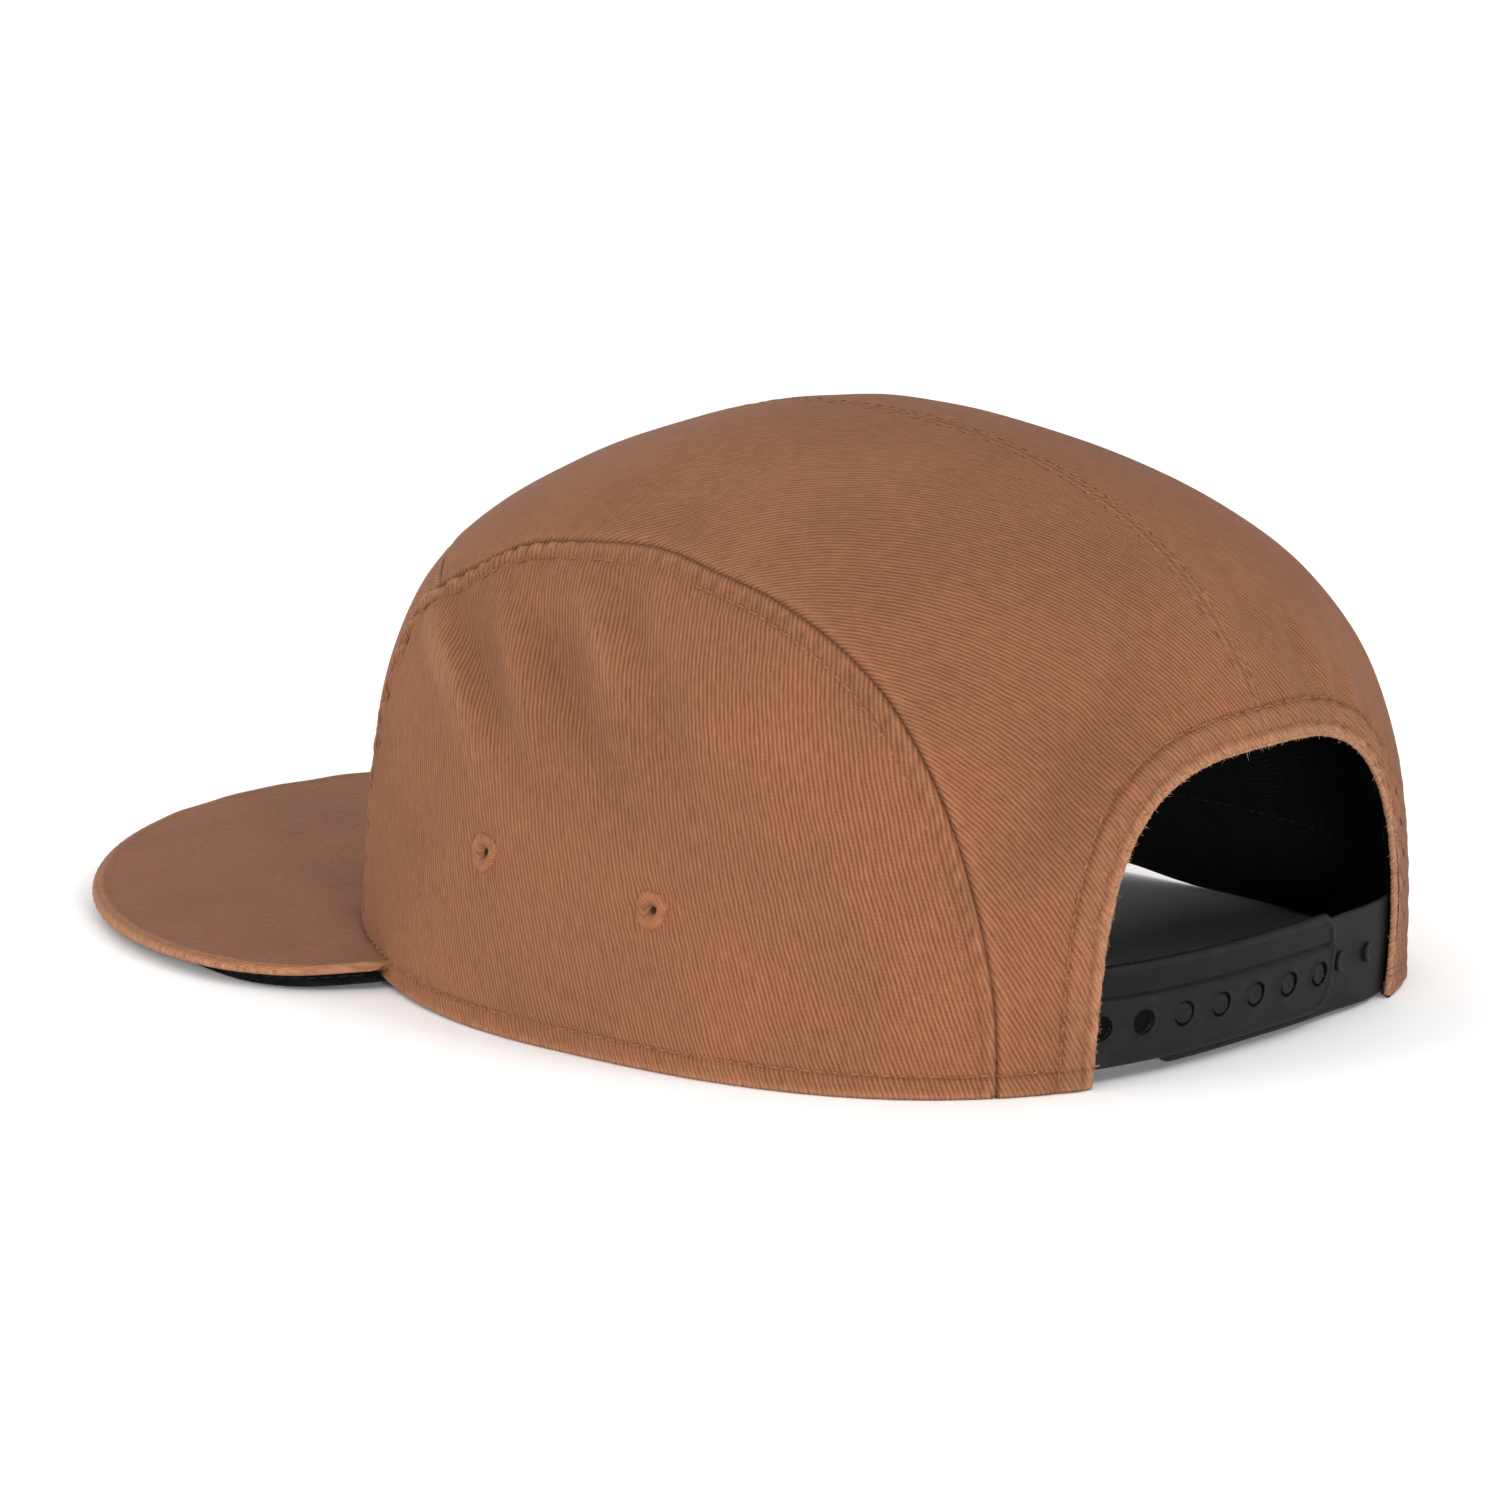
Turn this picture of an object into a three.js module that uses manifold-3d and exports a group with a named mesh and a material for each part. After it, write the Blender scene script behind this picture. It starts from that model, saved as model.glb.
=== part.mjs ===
// A five panel cap with a flat peak, a D-shaped panel on each side and a plastic snap strap at the back.
// Millimetres, +Z up. The peak points along -Y, the wearer's left is +X, and the cap stands on Z = 0.
// The crown is worked out about the middle of its rim; the whole cap is then moved along Y at the end.
import * as THREE from 'three';
import Module from 'manifold-3d';

const wasm = await Module();
wasm.setup();

// Crown sizes
const crownHalfLength = 96.8;
const crownHalfWidth = 85.4;
const crownHeight = 105.2;
const crownLean = 2.6;
const rimLift = 4.6;
const rimLiftStart = 19;
const panelWall = 1.5;

// Clearances between pieces that are sewn or snapped together
const seamGap = 0.34;
const layerGap = 0.5;
const liningGap = 0.8;
const fitGap = 0.3;

// Inner layer
const liningWall = 0.9;
const sweatbandHeight = 22;
const sweatbandRise = 1;
const sweatbandWall = 1.1;

// Opening over the strap
const archHalfWidth = 42.5;
const archHeight = 55.5;
const archPower = 3.1;
const bindingWidth = 2;
const bindingRise = 1;
const archCutRise = 0.5;
const archCutDepth = 15;

// Snap strap
const strapHeight = 19;
const strapWall = 1.3;
const strapBottom = 2.6;
const underStrapDrop = 2;
const strapEase = 2;
const strapTab = 9;
const strapEndRadius = 5;
const outerStrapEnd = 20;
const innerStrapEnd = 27;
const holePitch = 9.3;
const holeDiameter = 5;
const holeFromEnd = 4.9;
const holeHeight = 10.4;
const holeCount = 7;
const pegDiameter = 4;
const pegHeadDiameter = 4.4;
const pegCount = 7;
const pegsPastEnd = 2;
const pegProud = 0.7;

// Peak
const peakReach = 67.3;
const peakTurn = 58.9;
const peakRootHeight = 4.6;
const peakTipHeight = 3.1;
const peakArch = 3;
const peakThickness = 2.8;
const peakCover = 1.6;
const peakEdgeBand = 3;
const peakInset = 0.1;

// Eyelets
const eyeletDiameter = 8;
const eyeletFlange = 0.8;
const eyeletBarrelDiameter = 3.8;
const eyeletBore = 1.4;

// Fineness of the facets
const seamStations = 30;
const frontStations = 8;
const eyeletSides = 14;
const snapSides = 10;
const strapStep = 3.2;

// Shape of the crown: powers of the superellipses in plan and in profile, and the swell of the profile in
// waves of one, two and three halves from rim to top, as shares of the radius. The quarters lie between the
// side and the front or back.
const planPower = { front: 2.03, back: 2.73, top: 2.45 };
const profilePower = { front: 2, back: 2.35, side: 2.1 };
const profileSwell = {
  front: [0.06, 0.021, -0.032],
  back: [0.104, 0.007, -0.005],
  side: [0.023, 0.001, -0.015],
  frontQuarter: [-0.002, 0.002, 0],
  backQuarter: [-0.011, 0.007, -0.009],
};

// The crown is a disc drawn up into a dome: a place on it is (across, along) in a disc of radius 1, with the
// rim on the circle and the top in the middle. Left side seam, from the front of the rim over the top to the
// back of the rim, with the place where the line across from each point crosses the middle of the cap.
const sideSeam = [
  { across: 0.676, along: -0.737, middle: -1 },
  { across: 0.592, along: -0.64, middle: -0.86 },
  { across: 0.505, along: -0.545, middle: -0.73 },
  { across: 0.435, along: -0.46, middle: -0.62 },
  { across: 0.398, along: -0.375, middle: -0.51 },
  { across: 0.398, along: -0.28, middle: -0.4 },
  { across: 0.388, along: -0.2, middle: -0.27 },
  { across: 0.399, along: -0.1, middle: -0.13 },
  { across: 0.403, along: 0, middle: 0 },
  { across: 0.41, along: 0.1, middle: 0.12 },
  { across: 0.408, along: 0.22, middle: 0.27 },
  { across: 0.42, along: 0.345, middle: 0.42 },
  { across: 0.45, along: 0.445, middle: 0.56 },
  { across: 0.51, along: 0.592, middle: 0.75 },
  { across: 0.558, along: 0.692, middle: 0.87 },
  { across: 0.621, along: 0.784, middle: 1 },
];

// Eyelets of the left side, as places on the disc
const eyelets = [
  { name: 'front', across: 0.788, along: -0.162 },
  { name: 'rear', across: 0.802, along: 0.2 },
];

// Creases and hollows of the soft crown: centre, heading in degrees, half length and half width on the disc,
// and depth as a share of the crown's height.
const creases = [
  { across: 0.51, along: -0.3, heading: 37, length: 0.13, width: 0.035, depth: 0.014 },
  { across: 0.61, along: -0.11, heading: 43, length: 0.13, width: 0.05, depth: 0.012 },
  { across: 0.5, along: 0, heading: 30, length: 0.08, width: 0.03, depth: 0.007 },
  { across: 0.29, along: 0.562, heading: 10, length: 0.1, width: 0.045, depth: 0.01 },
  { across: -0.54, along: -0.27, heading: 142, length: 0.13, width: 0.04, depth: 0.012 },
  { across: -0.62, along: 0.05, heading: 175, length: 0.14, width: 0.06, depth: 0.011 },
  { across: -0.3, along: 0.55, heading: 165, length: 0.1, width: 0.05, depth: 0.009 },
  { across: -0.2, along: 0.28, heading: 125, length: 0.2, width: 0.13, depth: 0.01 },
];

// Left half of the peak's outline, from the middle of its tip to its end beside the crown: shares of the
// peak's turn round the rim and of its reach, measured square to the rim.
const peakOutline = [
  { turn: 0, out: 1 },
  { turn: 0.12, out: 0.989 },
  { turn: 0.24, out: 0.951 },
  { turn: 0.36, out: 0.893 },
  { turn: 0.47, out: 0.825 },
  { turn: 0.57, out: 0.749 },
  { turn: 0.66, out: 0.67 },
  { turn: 0.74, out: 0.589 },
  { turn: 0.81, out: 0.512 },
  { turn: 0.87, out: 0.437 },
  { turn: 0.92, out: 0.356 },
  { turn: 0.965, out: 0.259 },
  { turn: 1, out: 0.084 },
];

const colours = {
  twill: 0x99684b,
  peakTwill: 0x8b6650,
  black: 0x121111,
  sweatband: 0x1c1a1a,
  plastic: 0x2c2a2a,
  thread: 0x8f6248,
};

const group = new THREE.Group();
const radians = THREE.MathUtils.degToRad;
const mix = THREE.MathUtils.lerp;

function superRadius(cos, sin, power) {
  return 1 / (Math.abs(cos) ** power + Math.abs(sin) ** power) ** (1 / power);
}

function swellAt(terms, climb) {
  return terms.reduce((sum, share, i) => sum + share * Math.sin((i + 1) * Math.PI * climb), 0);
}

function rimHeight(y) {
  const forward = Math.max(0, (-rimLiftStart - y) / (crownHalfLength - rimLiftStart));
  return rimLift * forward ** 1.5;
}

function creaseDepth(across, along) {
  let depth = 0;
  for (const crease of creases) {
    const cos = Math.cos(radians(crease.heading));
    const sin = Math.sin(radians(crease.heading));
    const dx = across - crease.across;
    const dy = along - crease.along;
    const lengthwise = (dx * cos + dy * sin) / crease.length;
    const sideways = (dy * cos - dx * sin) / crease.width;
    depth += crease.depth * crownHeight * Math.exp(-(lengthwise ** 2) - sideways ** 2);
  }
  return depth;
}

// Outer face of the crown, without its creases
function smoothPoint(across, along) {
  const reach = Math.min(Math.hypot(across, along), 1);
  const bearing = Math.atan2(along, across);
  const cos = Math.cos(bearing);
  const sin = Math.sin(bearing);
  const climb = 1 - reach;
  const rise = (climb * Math.PI) / 2;
  const endPower = sin < 0 ? planPower.front : planPower.back;
  const plan = mix(endPower, planPower.top, Math.sin(rise) ** 2);
  const radius = superRadius(cos, sin, plan);
  const x = crownHalfWidth * cos * radius;
  const y = crownHalfLength * sin * radius;
  const end = sin < 0 ? 'front' : 'back';
  const power = mix(profilePower.side, profilePower[end], sin * sin);
  const endSwell = mix(swellAt(profileSwell.side, climb), swellAt(profileSwell[end], climb), sin * sin);
  const swell = endSwell + swellAt(profileSwell[`${end}Quarter`], climb) * (2 * sin * cos) ** 2;
  const profile = superRadius(Math.cos(rise), Math.sin(rise), power);
  const inward = profile * Math.cos(rise) + swell;
  const upward = profile * Math.sin(rise);
  const rim = rimHeight(y);
  return new THREE.Vector3(x * inward, y * inward - crownLean * climb ** 2, mix(rim, crownHeight, upward));
}

function crownNormal(across, along) {
  const step = 0.004;
  const pull = Math.min(1, 0.99 / Math.max(Math.hypot(across, along), step));
  const a = across * pull;
  const b = along * pull;
  const sideways = smoothPoint(a + step, b).sub(smoothPoint(a - step, b));
  const lengthwise = smoothPoint(a, b + step).sub(smoothPoint(a, b - step));
  return sideways.cross(lengthwise).normalize();
}

// A point of the crown, depth millimetres in from its outer face. On the rim it stays level with the rim.
function crownPoint(place, depth = 0) {
  const point = smoothPoint(place.across, place.along);
  const level = point.z;
  const inward = depth + creaseDepth(place.across, place.along);
  point.addScaledVector(crownNormal(place.across, place.along), -inward);
  if (Math.hypot(place.across, place.along) > 0.999) point.z = level;
  return point;
}

function onBearing(bearing, climb) {
  return { across: (1 - climb) * Math.cos(bearing), along: (1 - climb) * Math.sin(bearing) };
}

// Halves an interval until a rising function reaches a value
function solve(rising, value, low, high) {
  for (let i = 0; i < 40; i += 1) {
    const middle = (low + high) / 2;
    if (rising(middle) < value) low = middle;
    else high = middle;
  }
  return (low + high) / 2;
}

// Place on the disc at a bearing and a height
function atHeight(bearing, z) {
  const climb = solve((c) => smoothPoint(...Object.values(onBearing(bearing, c))).z, z, 0, 1);
  return onBearing(bearing, climb);
}

// Place on the back of the crown with a given x and z
function backPlace(x, z) {
  const side = x < 0 ? -1 : 1;
  const across = (turn) => {
    const place = atHeight(Math.PI / 2 - turn, z);
    return smoothPoint(place.across, place.along).x;
  };
  const turn = solve(across, Math.abs(x), 0, 1.2);
  const place = atHeight(Math.PI / 2 - turn, z);
  return { across: side * place.across, along: place.along };
}

// Builds a closed solid from loops of equal length, skinned one after another, with a cap at each end
function loft(loops, capAxes) {
  const count = loops[0].length;
  const positions = loops.flat().flatMap((point) => point.toArray());
  const index = [];
  for (let i = 0; i + 1 < loops.length; i += 1) {
    for (let j = 0; j < count; j += 1) {
      const a = i * count + j;
      const b = i * count + ((j + 1) % count);
      index.push(a, b, a + count, b, b + count, a + count);
    }
  }
  for (const end of [0, loops.length - 1]) {
    const flat = loops[end].map((point) => capAxes(point, end));
    const clockwise = THREE.ShapeUtils.isClockWise(flat);
    for (const [a, b, c] of THREE.ShapeUtils.triangulateShape(flat, [])) {
      const turned = clockwise === false;
      const [second, third] = turned === (end === 0) ? [c, b] : [b, c];
      index.push(end * count + a, end * count + second, end * count + third);
    }
  }
  return closedGeometry(positions, index);
}

// Builds a closed solid between two grids of points; the first grid is the outer face
function shell(outer, inner) {
  const rows = outer.length;
  const columns = outer[0].length;
  const layer = rows * columns;
  const positions = [...outer.flat(), ...inner.flat()].flatMap((point) => point.toArray());
  const index = [];
  const at = (i, j) => i * columns + j;
  for (let i = 0; i + 1 < rows; i += 1) {
    for (let j = 0; j + 1 < columns; j += 1) {
      const [a, b, c, d] = [at(i, j), at(i, j + 1), at(i + 1, j + 1), at(i + 1, j)];
      index.push(a, b, c, a, c, d);
      index.push(layer + a, layer + c, layer + b, layer + a, layer + d, layer + c);
    }
  }
  const edge = [];
  for (let j = 0; j < columns; j += 1) edge.push(at(0, j));
  for (let i = 1; i < rows; i += 1) edge.push(at(i, columns - 1));
  for (let j = columns - 2; j >= 0; j -= 1) edge.push(at(rows - 1, j));
  for (let i = rows - 2; i > 0; i -= 1) edge.push(at(i, 0));
  edge.forEach((a, k) => {
    const b = edge[(k + 1) % edge.length];
    index.push(b, a, layer + a, b, layer + a, layer + b);
  });
  return closedGeometry(positions, index);
}

// Makes a geometry and turns its faces out if it was wound the other way
function closedGeometry(positions, index) {
  const geometry = new THREE.BufferGeometry();
  geometry.setAttribute('position', new THREE.Float32BufferAttribute(positions, 3));
  geometry.setIndex(signedVolume(positions, index) < 0 ? index.toReversed() : index);
  return geometry;
}

function signedVolume(positions, index) {
  const corner = (i) => new THREE.Vector3().fromArray(positions, 3 * index[i]);
  let volume = 0;
  for (let i = 0; i < index.length; i += 3) {
    volume += corner(i).dot(corner(i + 1).cross(corner(i + 2)));
  }
  return volume;
}

function toSolid(geometry) {
  const vertProperties = new Float32Array(geometry.attributes.position.array);
  const triVerts = new Uint32Array(geometry.index.array);
  return new wasm.Manifold(new wasm.Mesh({ numProp: 3, vertProperties, triVerts }));
}

function toGeometry(solid) {
  const mesh = solid.getMesh();
  const geometry = new THREE.BufferGeometry();
  geometry.setAttribute('position', new THREE.BufferAttribute(mesh.vertProperties, 3));
  geometry.setIndex(new THREE.BufferAttribute(mesh.triVerts, 1));
  return geometry;
}

function addPiece(name, geometry, colour, roughness = 0.9) {
  const material = new THREE.MeshStandardMaterial({ color: colour, roughness, metalness: 0 });
  const mesh = new THREE.Mesh(geometry, material);
  mesh.name = name;
  geometry.computeVertexNormals();
  group.add(mesh);
}

// Seam curves and rows of the middle strip
const seamCurve = new THREE.CatmullRomCurve3(
  sideSeam.map((point) => new THREE.Vector3(point.across, point.along, point.middle)),
);

// The left side seam moved sideways by a distance in millimetres, positive into the side panel
function seamPlace(share, shift) {
  const point = seamCurve.getPointAt(share);
  const tangent = seamCurve.getTangentAt(share);
  const sideways = new THREE.Vector2(tangent.y, -tangent.x).normalize();
  const step = 0.01;
  const here = smoothPoint(point.x, point.y);
  const there = smoothPoint(point.x + sideways.x * -step, point.y + sideways.y * -step);
  const move = (shift * step) / here.distanceTo(there);
  const place = { across: point.x + sideways.x * move, along: point.y + sideways.y * move, middle: point.z };
  if (share === 0 || share === 1) {
    const reach = Math.hypot(place.across, place.along);
    place.across /= reach;
    place.along /= reach;
  }
  return place;
}

// A place in the strip between the side seams, from 0 in the middle of the cap to 1 at a side seam
function stripPlace(share, sideways) {
  const edge = seamPlace(share, -seamGap / 2);
  const arc = Math.max(0.05, Math.atan2(edge.across, Math.abs(edge.along)) * edge.middle ** 2);
  const bend = (1 - Math.cos(arc * sideways)) / (1 - Math.cos(arc));
  const across = (edge.across * Math.sin(arc * sideways)) / Math.sin(arc);
  return { across, along: mix(edge.middle, edge.along, bend) };
}

const stationShares = Array.from({ length: seamStations + 1 }, (_, i) => i / seamStations);
const frontSeamShare = frontStations / seamStations;
const crossSeam = smoothPoint(0, seamCurve.getPointAt(frontSeamShare).z);
const nextRow = smoothPoint(0, seamCurve.getPointAt(frontSeamShare + 0.01).z);
const crossShift = ((seamGap / 2) * 0.01) / crossSeam.distanceTo(nextRow);

function shellOf(places, outerDepth, innerDepth) {
  const layer = (depth) => places.map((row) => row.map((place) => crownPoint(place, depth)));
  return shell(layer(outerDepth), layer(innerDepth));
}

function mirrored(place) {
  return { across: -place.across, along: place.along };
}

// Front panel, from the rim to the seam across the top of the forehead
function frontPanel() {
  const columns = 6;
  const shares = [...stationShares.slice(0, frontStations), frontSeamShare - crossShift];
  const places = shares.map((share) => {
    const left = Array.from({ length: columns + 1 }, (_, j) => stripPlace(share, j / columns));
    return [...left.slice(1).reverse().map(mirrored), ...left];
  });
  return shellOf(places, 0, panelWall);
}

// Left back panel, from the seam across the forehead over the top to the back of the rim
function backPanelPlaces() {
  const columns = 7;
  const centreGap = seamGap / 2 / crownPoint(stripPlace(0.5, 1)).x;
  const shares = [frontSeamShare + crossShift, ...stationShares.slice(frontStations + 1)];
  return shares.map((share) => Array.from({ length: columns + 1 }, (_, j) => {
    return stripPlace(share, mix(centreGap, 1, j / columns));
  }));
}

// Left side panel, between the rim and the side seam
function sidePanelPlaces() {
  const rows = 8;
  const front = Math.atan2(sideSeam[0].along, sideSeam[0].across);
  const last = sideSeam[sideSeam.length - 1];
  const back = Math.atan2(last.along, last.across);
  const margin = 0.15 / seamStations;
  const shares = [margin, ...stationShares.slice(1, -1), 1 - margin];
  return shares.map((share) => {
    const foot = onBearing(mix(front, back, mix(share, 0.5, 0.02)), 0);
    const head = seamPlace(share, seamGap / 2);
    return Array.from({ length: rows + 1 }, (_, j) => ({
      across: mix(foot.across, head.across, j / rows),
      along: mix(foot.along, head.along, j / rows),
    }));
  });
}

// Edge of the arched opening, moved out by a distance, from the right foot over the top to the left foot
function archPlaces(shift, steps, bottom) {
  const width = archHalfWidth + shift;
  const height = archHeight + shift;
  const start = Math.asin((bottom / height) ** (archPower / 2));
  return Array.from({ length: steps + 1 }, (_, i) => {
    const turn = mix(start, Math.PI - start, i / steps);
    const x = -Math.sign(Math.cos(turn)) * width * Math.abs(Math.cos(turn)) ** (2 / archPower);
    return backPlace(x, height * Math.sin(turn) ** (2 / archPower));
  });
}

// Solid that cuts the arched opening square to the crown's surface
function archCutter() {
  const places = archPlaces(bindingWidth + fitGap, 44, archCutRise);
  const loops = [-archCutDepth, archCutDepth].map((depth) => {
    const edge = places.map((place) => {
      const point = smoothPoint(place.across, place.along);
      return point.addScaledVector(crownNormal(place.across, place.along), -depth);
    });
    const feet = [edge[edge.length - 1], edge[0]].map((point) => point.clone().setZ(-archCutDepth));
    return [...edge, ...feet];
  });
  return toSolid(loft(loops, (point) => new THREE.Vector2(point.x, point.z)));
}

// Rolled binding round the arched opening
function archBinding() {
  const places = archPlaces(bindingWidth / 2, 48, bindingRise);
  const centres = places.map((place) => crownPoint(place, panelWall / 2));
  const sides = 8;
  const loops = centres.map((centre, i) => {
    const before = centres[Math.max(0, i - 1)];
    const after = centres[Math.min(centres.length - 1, i + 1)];
    const tangent = after.clone().sub(before).normalize();
    const normal = crownNormal(places[i].across, places[i].along);
    const outward = tangent.clone().cross(normal).normalize();
    return Array.from({ length: sides }, (_, k) => {
      const turn = ((k + 0.5) * 2 * Math.PI) / sides;
      const point = centre.clone().addScaledVector(outward, (bindingWidth / 2) * Math.cos(turn));
      return point.addScaledVector(normal, (panelWall / 2) * Math.sin(turn));
    });
  });
  return loft(loops, (point) => new THREE.Vector2(point.x, point.y));
}

// Lining of the crown, from the top of the sweatband upward, in rings that close at the top
function liningSolid() {
  const columns = 32;
  const rings = 8;
  const depths = [panelWall + liningGap, panelWall + liningGap + liningWall];
  const positions = [];
  const index = [];
  for (const depth of depths) {
    for (let j = 0; j < columns; j += 1) {
      const bearing = (j / columns) * 2 * Math.PI;
      const foot = atHeight(bearing, sweatbandHeight + layerGap);
      for (let i = 0; i < rings; i += 1) {
        const share = 1 - i / rings;
        const place = { across: foot.across * share, along: foot.along * share };
        positions.push(...crownPoint(place, depth).toArray());
      }
    }
    positions.push(...crownPoint({ across: 0, along: 0 }, depth).toArray());
  }
  const layer = columns * rings + 1;
  const at = (i, j) => (j % columns) * rings + i;
  for (let j = 0; j < columns; j += 1) {
    for (let i = 0; i < rings; i += 1) {
      const [a, b] = [at(i, j), at(i, j + 1)];
      if (i + 1 < rings) {
        const [c, d] = [at(i + 1, j + 1), at(i + 1, j)];
        index.push(a, b, c, a, c, d, layer + a, layer + c, layer + b, layer + a, layer + d, layer + c);
      } else {
        index.push(a, b, layer - 1, layer + a, 2 * layer - 1, layer + b);
      }
    }
    const [a, b] = [at(0, j), at(0, j + 1)];
    index.push(b, a, layer + a, b, layer + a, layer + b);
  }
  return toSolid(closedGeometry(positions, index));
}

// Bearing of the back of the rim, measured from the middle of the back, at a distance across
function rimTurn(x) {
  return solve((turn) => smoothPoint(Math.sin(turn), Math.cos(turn)).x, x, 0, 1.4);
}

// Sweatband inside the rim, which stops on each side where the strap's tab begins
function sweatband() {
  const columns = 36;
  const rows = 2;
  const turn = rimTurn(archHalfWidth + bindingWidth + strapTab + layerGap);
  const outer = panelWall + layerGap;
  const places = Array.from({ length: columns + 1 }, (_, i) => {
    const bearing = mix(Math.PI / 2 + turn, 2.5 * Math.PI - turn, i / columns);
    const rim = smoothPoint(Math.cos(bearing), Math.sin(bearing)).z;
    return Array.from({ length: rows + 1 }, (_, j) => {
      return atHeight(bearing, mix(rim + sweatbandRise, sweatbandHeight, j / rows));
    });
  });
  return shellOf(places, outer, outer + sweatbandWall);
}

// Lengths along the rim from the middle of the back, at even steps of the turn about the crown's axis
const rimSpan = radians(60);
const rimSteps = 120;
const rimLengths = [0];
for (let i = 1; i <= rimSteps; i += 1) {
  const [before, after] = [i - 1, i].map((step) => (step / rimSteps) * rimSpan);
  const start = smoothPoint(Math.sin(before), Math.cos(before));
  const end = smoothPoint(Math.sin(after), Math.cos(after));
  rimLengths.push(rimLengths[i - 1] + start.distanceTo(end));
}

// Distance along the rim to a turn, positive to the wearer's left
function rimDistance(turn) {
  const share = Math.min((Math.abs(turn) / rimSpan) * rimSteps, rimSteps - 0.001);
  const i = Math.floor(share);
  return Math.sign(turn) * mix(rimLengths[i], rimLengths[i + 1], share - i);
}

const strapDepth = panelWall + layerGap;
const strapTabDistance = rimDistance(rimTurn(archHalfWidth + bindingWidth + strapTab));

// Place on the disc at a distance along the strap and a height
function strapPlace(distance, z) {
  return atHeight(Math.PI / 2 - solve(rimDistance, distance, -rimSpan, rimSpan), z);
}

// One side of the strap: a band with one rounded end, its depth inside the crown given by a function
function strapBand(end, tab, bottom, depthAt) {
  const heading = Math.sign(tab - end);
  const cuts = [0, 0.13, 0.35, 0.65, 1].map((share) => end + heading * strapEndRadius * share);
  const steps = Math.round(Math.abs(tab - end - heading * strapEndRadius) / strapStep);
  const rest = Array.from({ length: steps }, (_, i) => mix(cuts[4], tab, (i + 1) / steps));
  const rows = 2;
  const places = [...cuts, ...rest].map((distance) => {
    const short = Math.max(0, strapEndRadius - Math.abs(distance - end));
    const trim = strapEndRadius - Math.sqrt(strapEndRadius ** 2 - short ** 2);
    return Array.from({ length: rows + 1 }, (_, j) => {
      const z = mix(bottom + trim, bottom + strapHeight - trim, j / rows);
      return { place: strapPlace(distance, z), depth: depthAt(distance) };
    });
  });
  const face = (extra) => places.map((row) => row.map(({ place, depth }) => {
    const point = smoothPoint(place.across, place.along);
    return point.addScaledVector(crownNormal(place.across, place.along), -depth - extra);
  }));
  return toSolid(shell(face(0), face(strapWall)));
}

// A round pin or hole on the strap: a lathe profile of [radius, height above the crown's outer face]
function strapRound(distance, profile) {
  const place = strapPlace(distance, holeHeight);
  const outline = profile.map(([radius, height]) => new THREE.Vector2(radius, height));
  const geometry = new THREE.LatheGeometry(outline, snapSides);
  return toSolid(placedRound(geometry, smoothPoint(place.across, place.along), place));
}

// Stands a lathe shape on the crown's surface, its axis along the surface's normal
function placedRound(geometry, point, place) {
  const turn = new THREE.Quaternion().setFromUnitVectors(
    new THREE.Vector3(0, 1, 0),
    crownNormal(place.across, place.along),
  );
  geometry.applyQuaternion(turn);
  geometry.translate(point.x, point.y, point.z);
  return weldedRound(geometry);
}

// Joins the coincident points of a lathe shape
function weldedRound(geometry) {
  const source = geometry.attributes.position;
  const lookup = new Map();
  const positions = [];
  const remap = [];
  for (let i = 0; i < source.count; i += 1) {
    const point = [source.getX(i), source.getY(i), source.getZ(i)];
    const key = point.map((value) => Math.round(value * 1e4)).join();
    if (lookup.has(key) === false) {
      lookup.set(key, positions.length / 3);
      positions.push(...point);
    }
    remap.push(lookup.get(key));
  }
  const index = [];
  for (let i = 0; i < geometry.index.count; i += 3) {
    const [a, b, c] = [0, 1, 2].map((k) => remap[geometry.index.getX(i + k)]);
    if (a !== b && b !== c && c !== a) index.push(a, b, c);
  }
  return closedGeometry(positions, index);
}

const firstHole = -outerStrapEnd + holeFromEnd;
const holeDistances = Array.from({ length: holeCount }, (_, i) => firstHole + i * holePitch);

function outerStrap() {
  let band = strapBand(-outerStrapEnd, strapTabDistance, strapBottom, () => strapDepth);
  const radius = holeDiameter / 2;
  const outside = strapWall;
  const inside = -strapDepth - 2 * strapWall;
  const drill = [[0, outside], [radius, outside], [radius, inside], [0, inside]];
  for (const distance of holeDistances) {
    band = band.subtract(strapRound(distance, drill));
  }
  return toGeometry(band);
}

function innerStrap() {
  const under = strapDepth + strapWall + fitGap;
  const clear = outerStrapEnd + strapEase;
  const depthAt = (distance) => {
    const step = THREE.MathUtils.smoothstep(-distance, clear, archHalfWidth - strapEase);
    return mix(under, strapDepth, step);
  };
  let band = strapBand(innerStrapEnd, -strapTabDistance, strapBottom - underStrapDrop, depthAt);
  for (let i = 0; i < pegCount; i += 1) {
    const distance = firstHole + (i - pegsPastEnd) * holePitch;
    const root = -depthAt(distance) - strapWall / 2;
    const face = -depthAt(distance) + strapWall + fitGap;
    const neck = pegDiameter / 2;
    const head = pegHeadDiameter / 2;
    const tip = face + pegProud;
    const peg = [[0, root], [neck, root], [neck, face], [head, face + pegProud / 3], [neck, tip], [0, tip]];
    band = band.add(strapRound(distance, peg));
  }
  return toGeometry(band);
}

// Place on the rim at a turn from the front, and the direction square to the rim there
function rimAt(turn) {
  return smoothPoint(Math.sin(turn), -Math.cos(turn)).setZ(0);
}

function rimOutward(turn) {
  const step = 0.001;
  const along = rimAt(turn + step).sub(rimAt(turn - step)).normalize();
  return new THREE.Vector3(along.y, -along.x, 0);
}

// Outline from the right end of the peak round its tip to the left end, in shares of its turn and reach
const peakCurve = new THREE.CatmullRomCurve3(
  [...peakOutline.slice(1).reverse().map((p) => ({ turn: -p.turn, out: p.out })), ...peakOutline].map(
    (p) => new THREE.Vector3(p.turn, p.out, 0),
  ),
);

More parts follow.
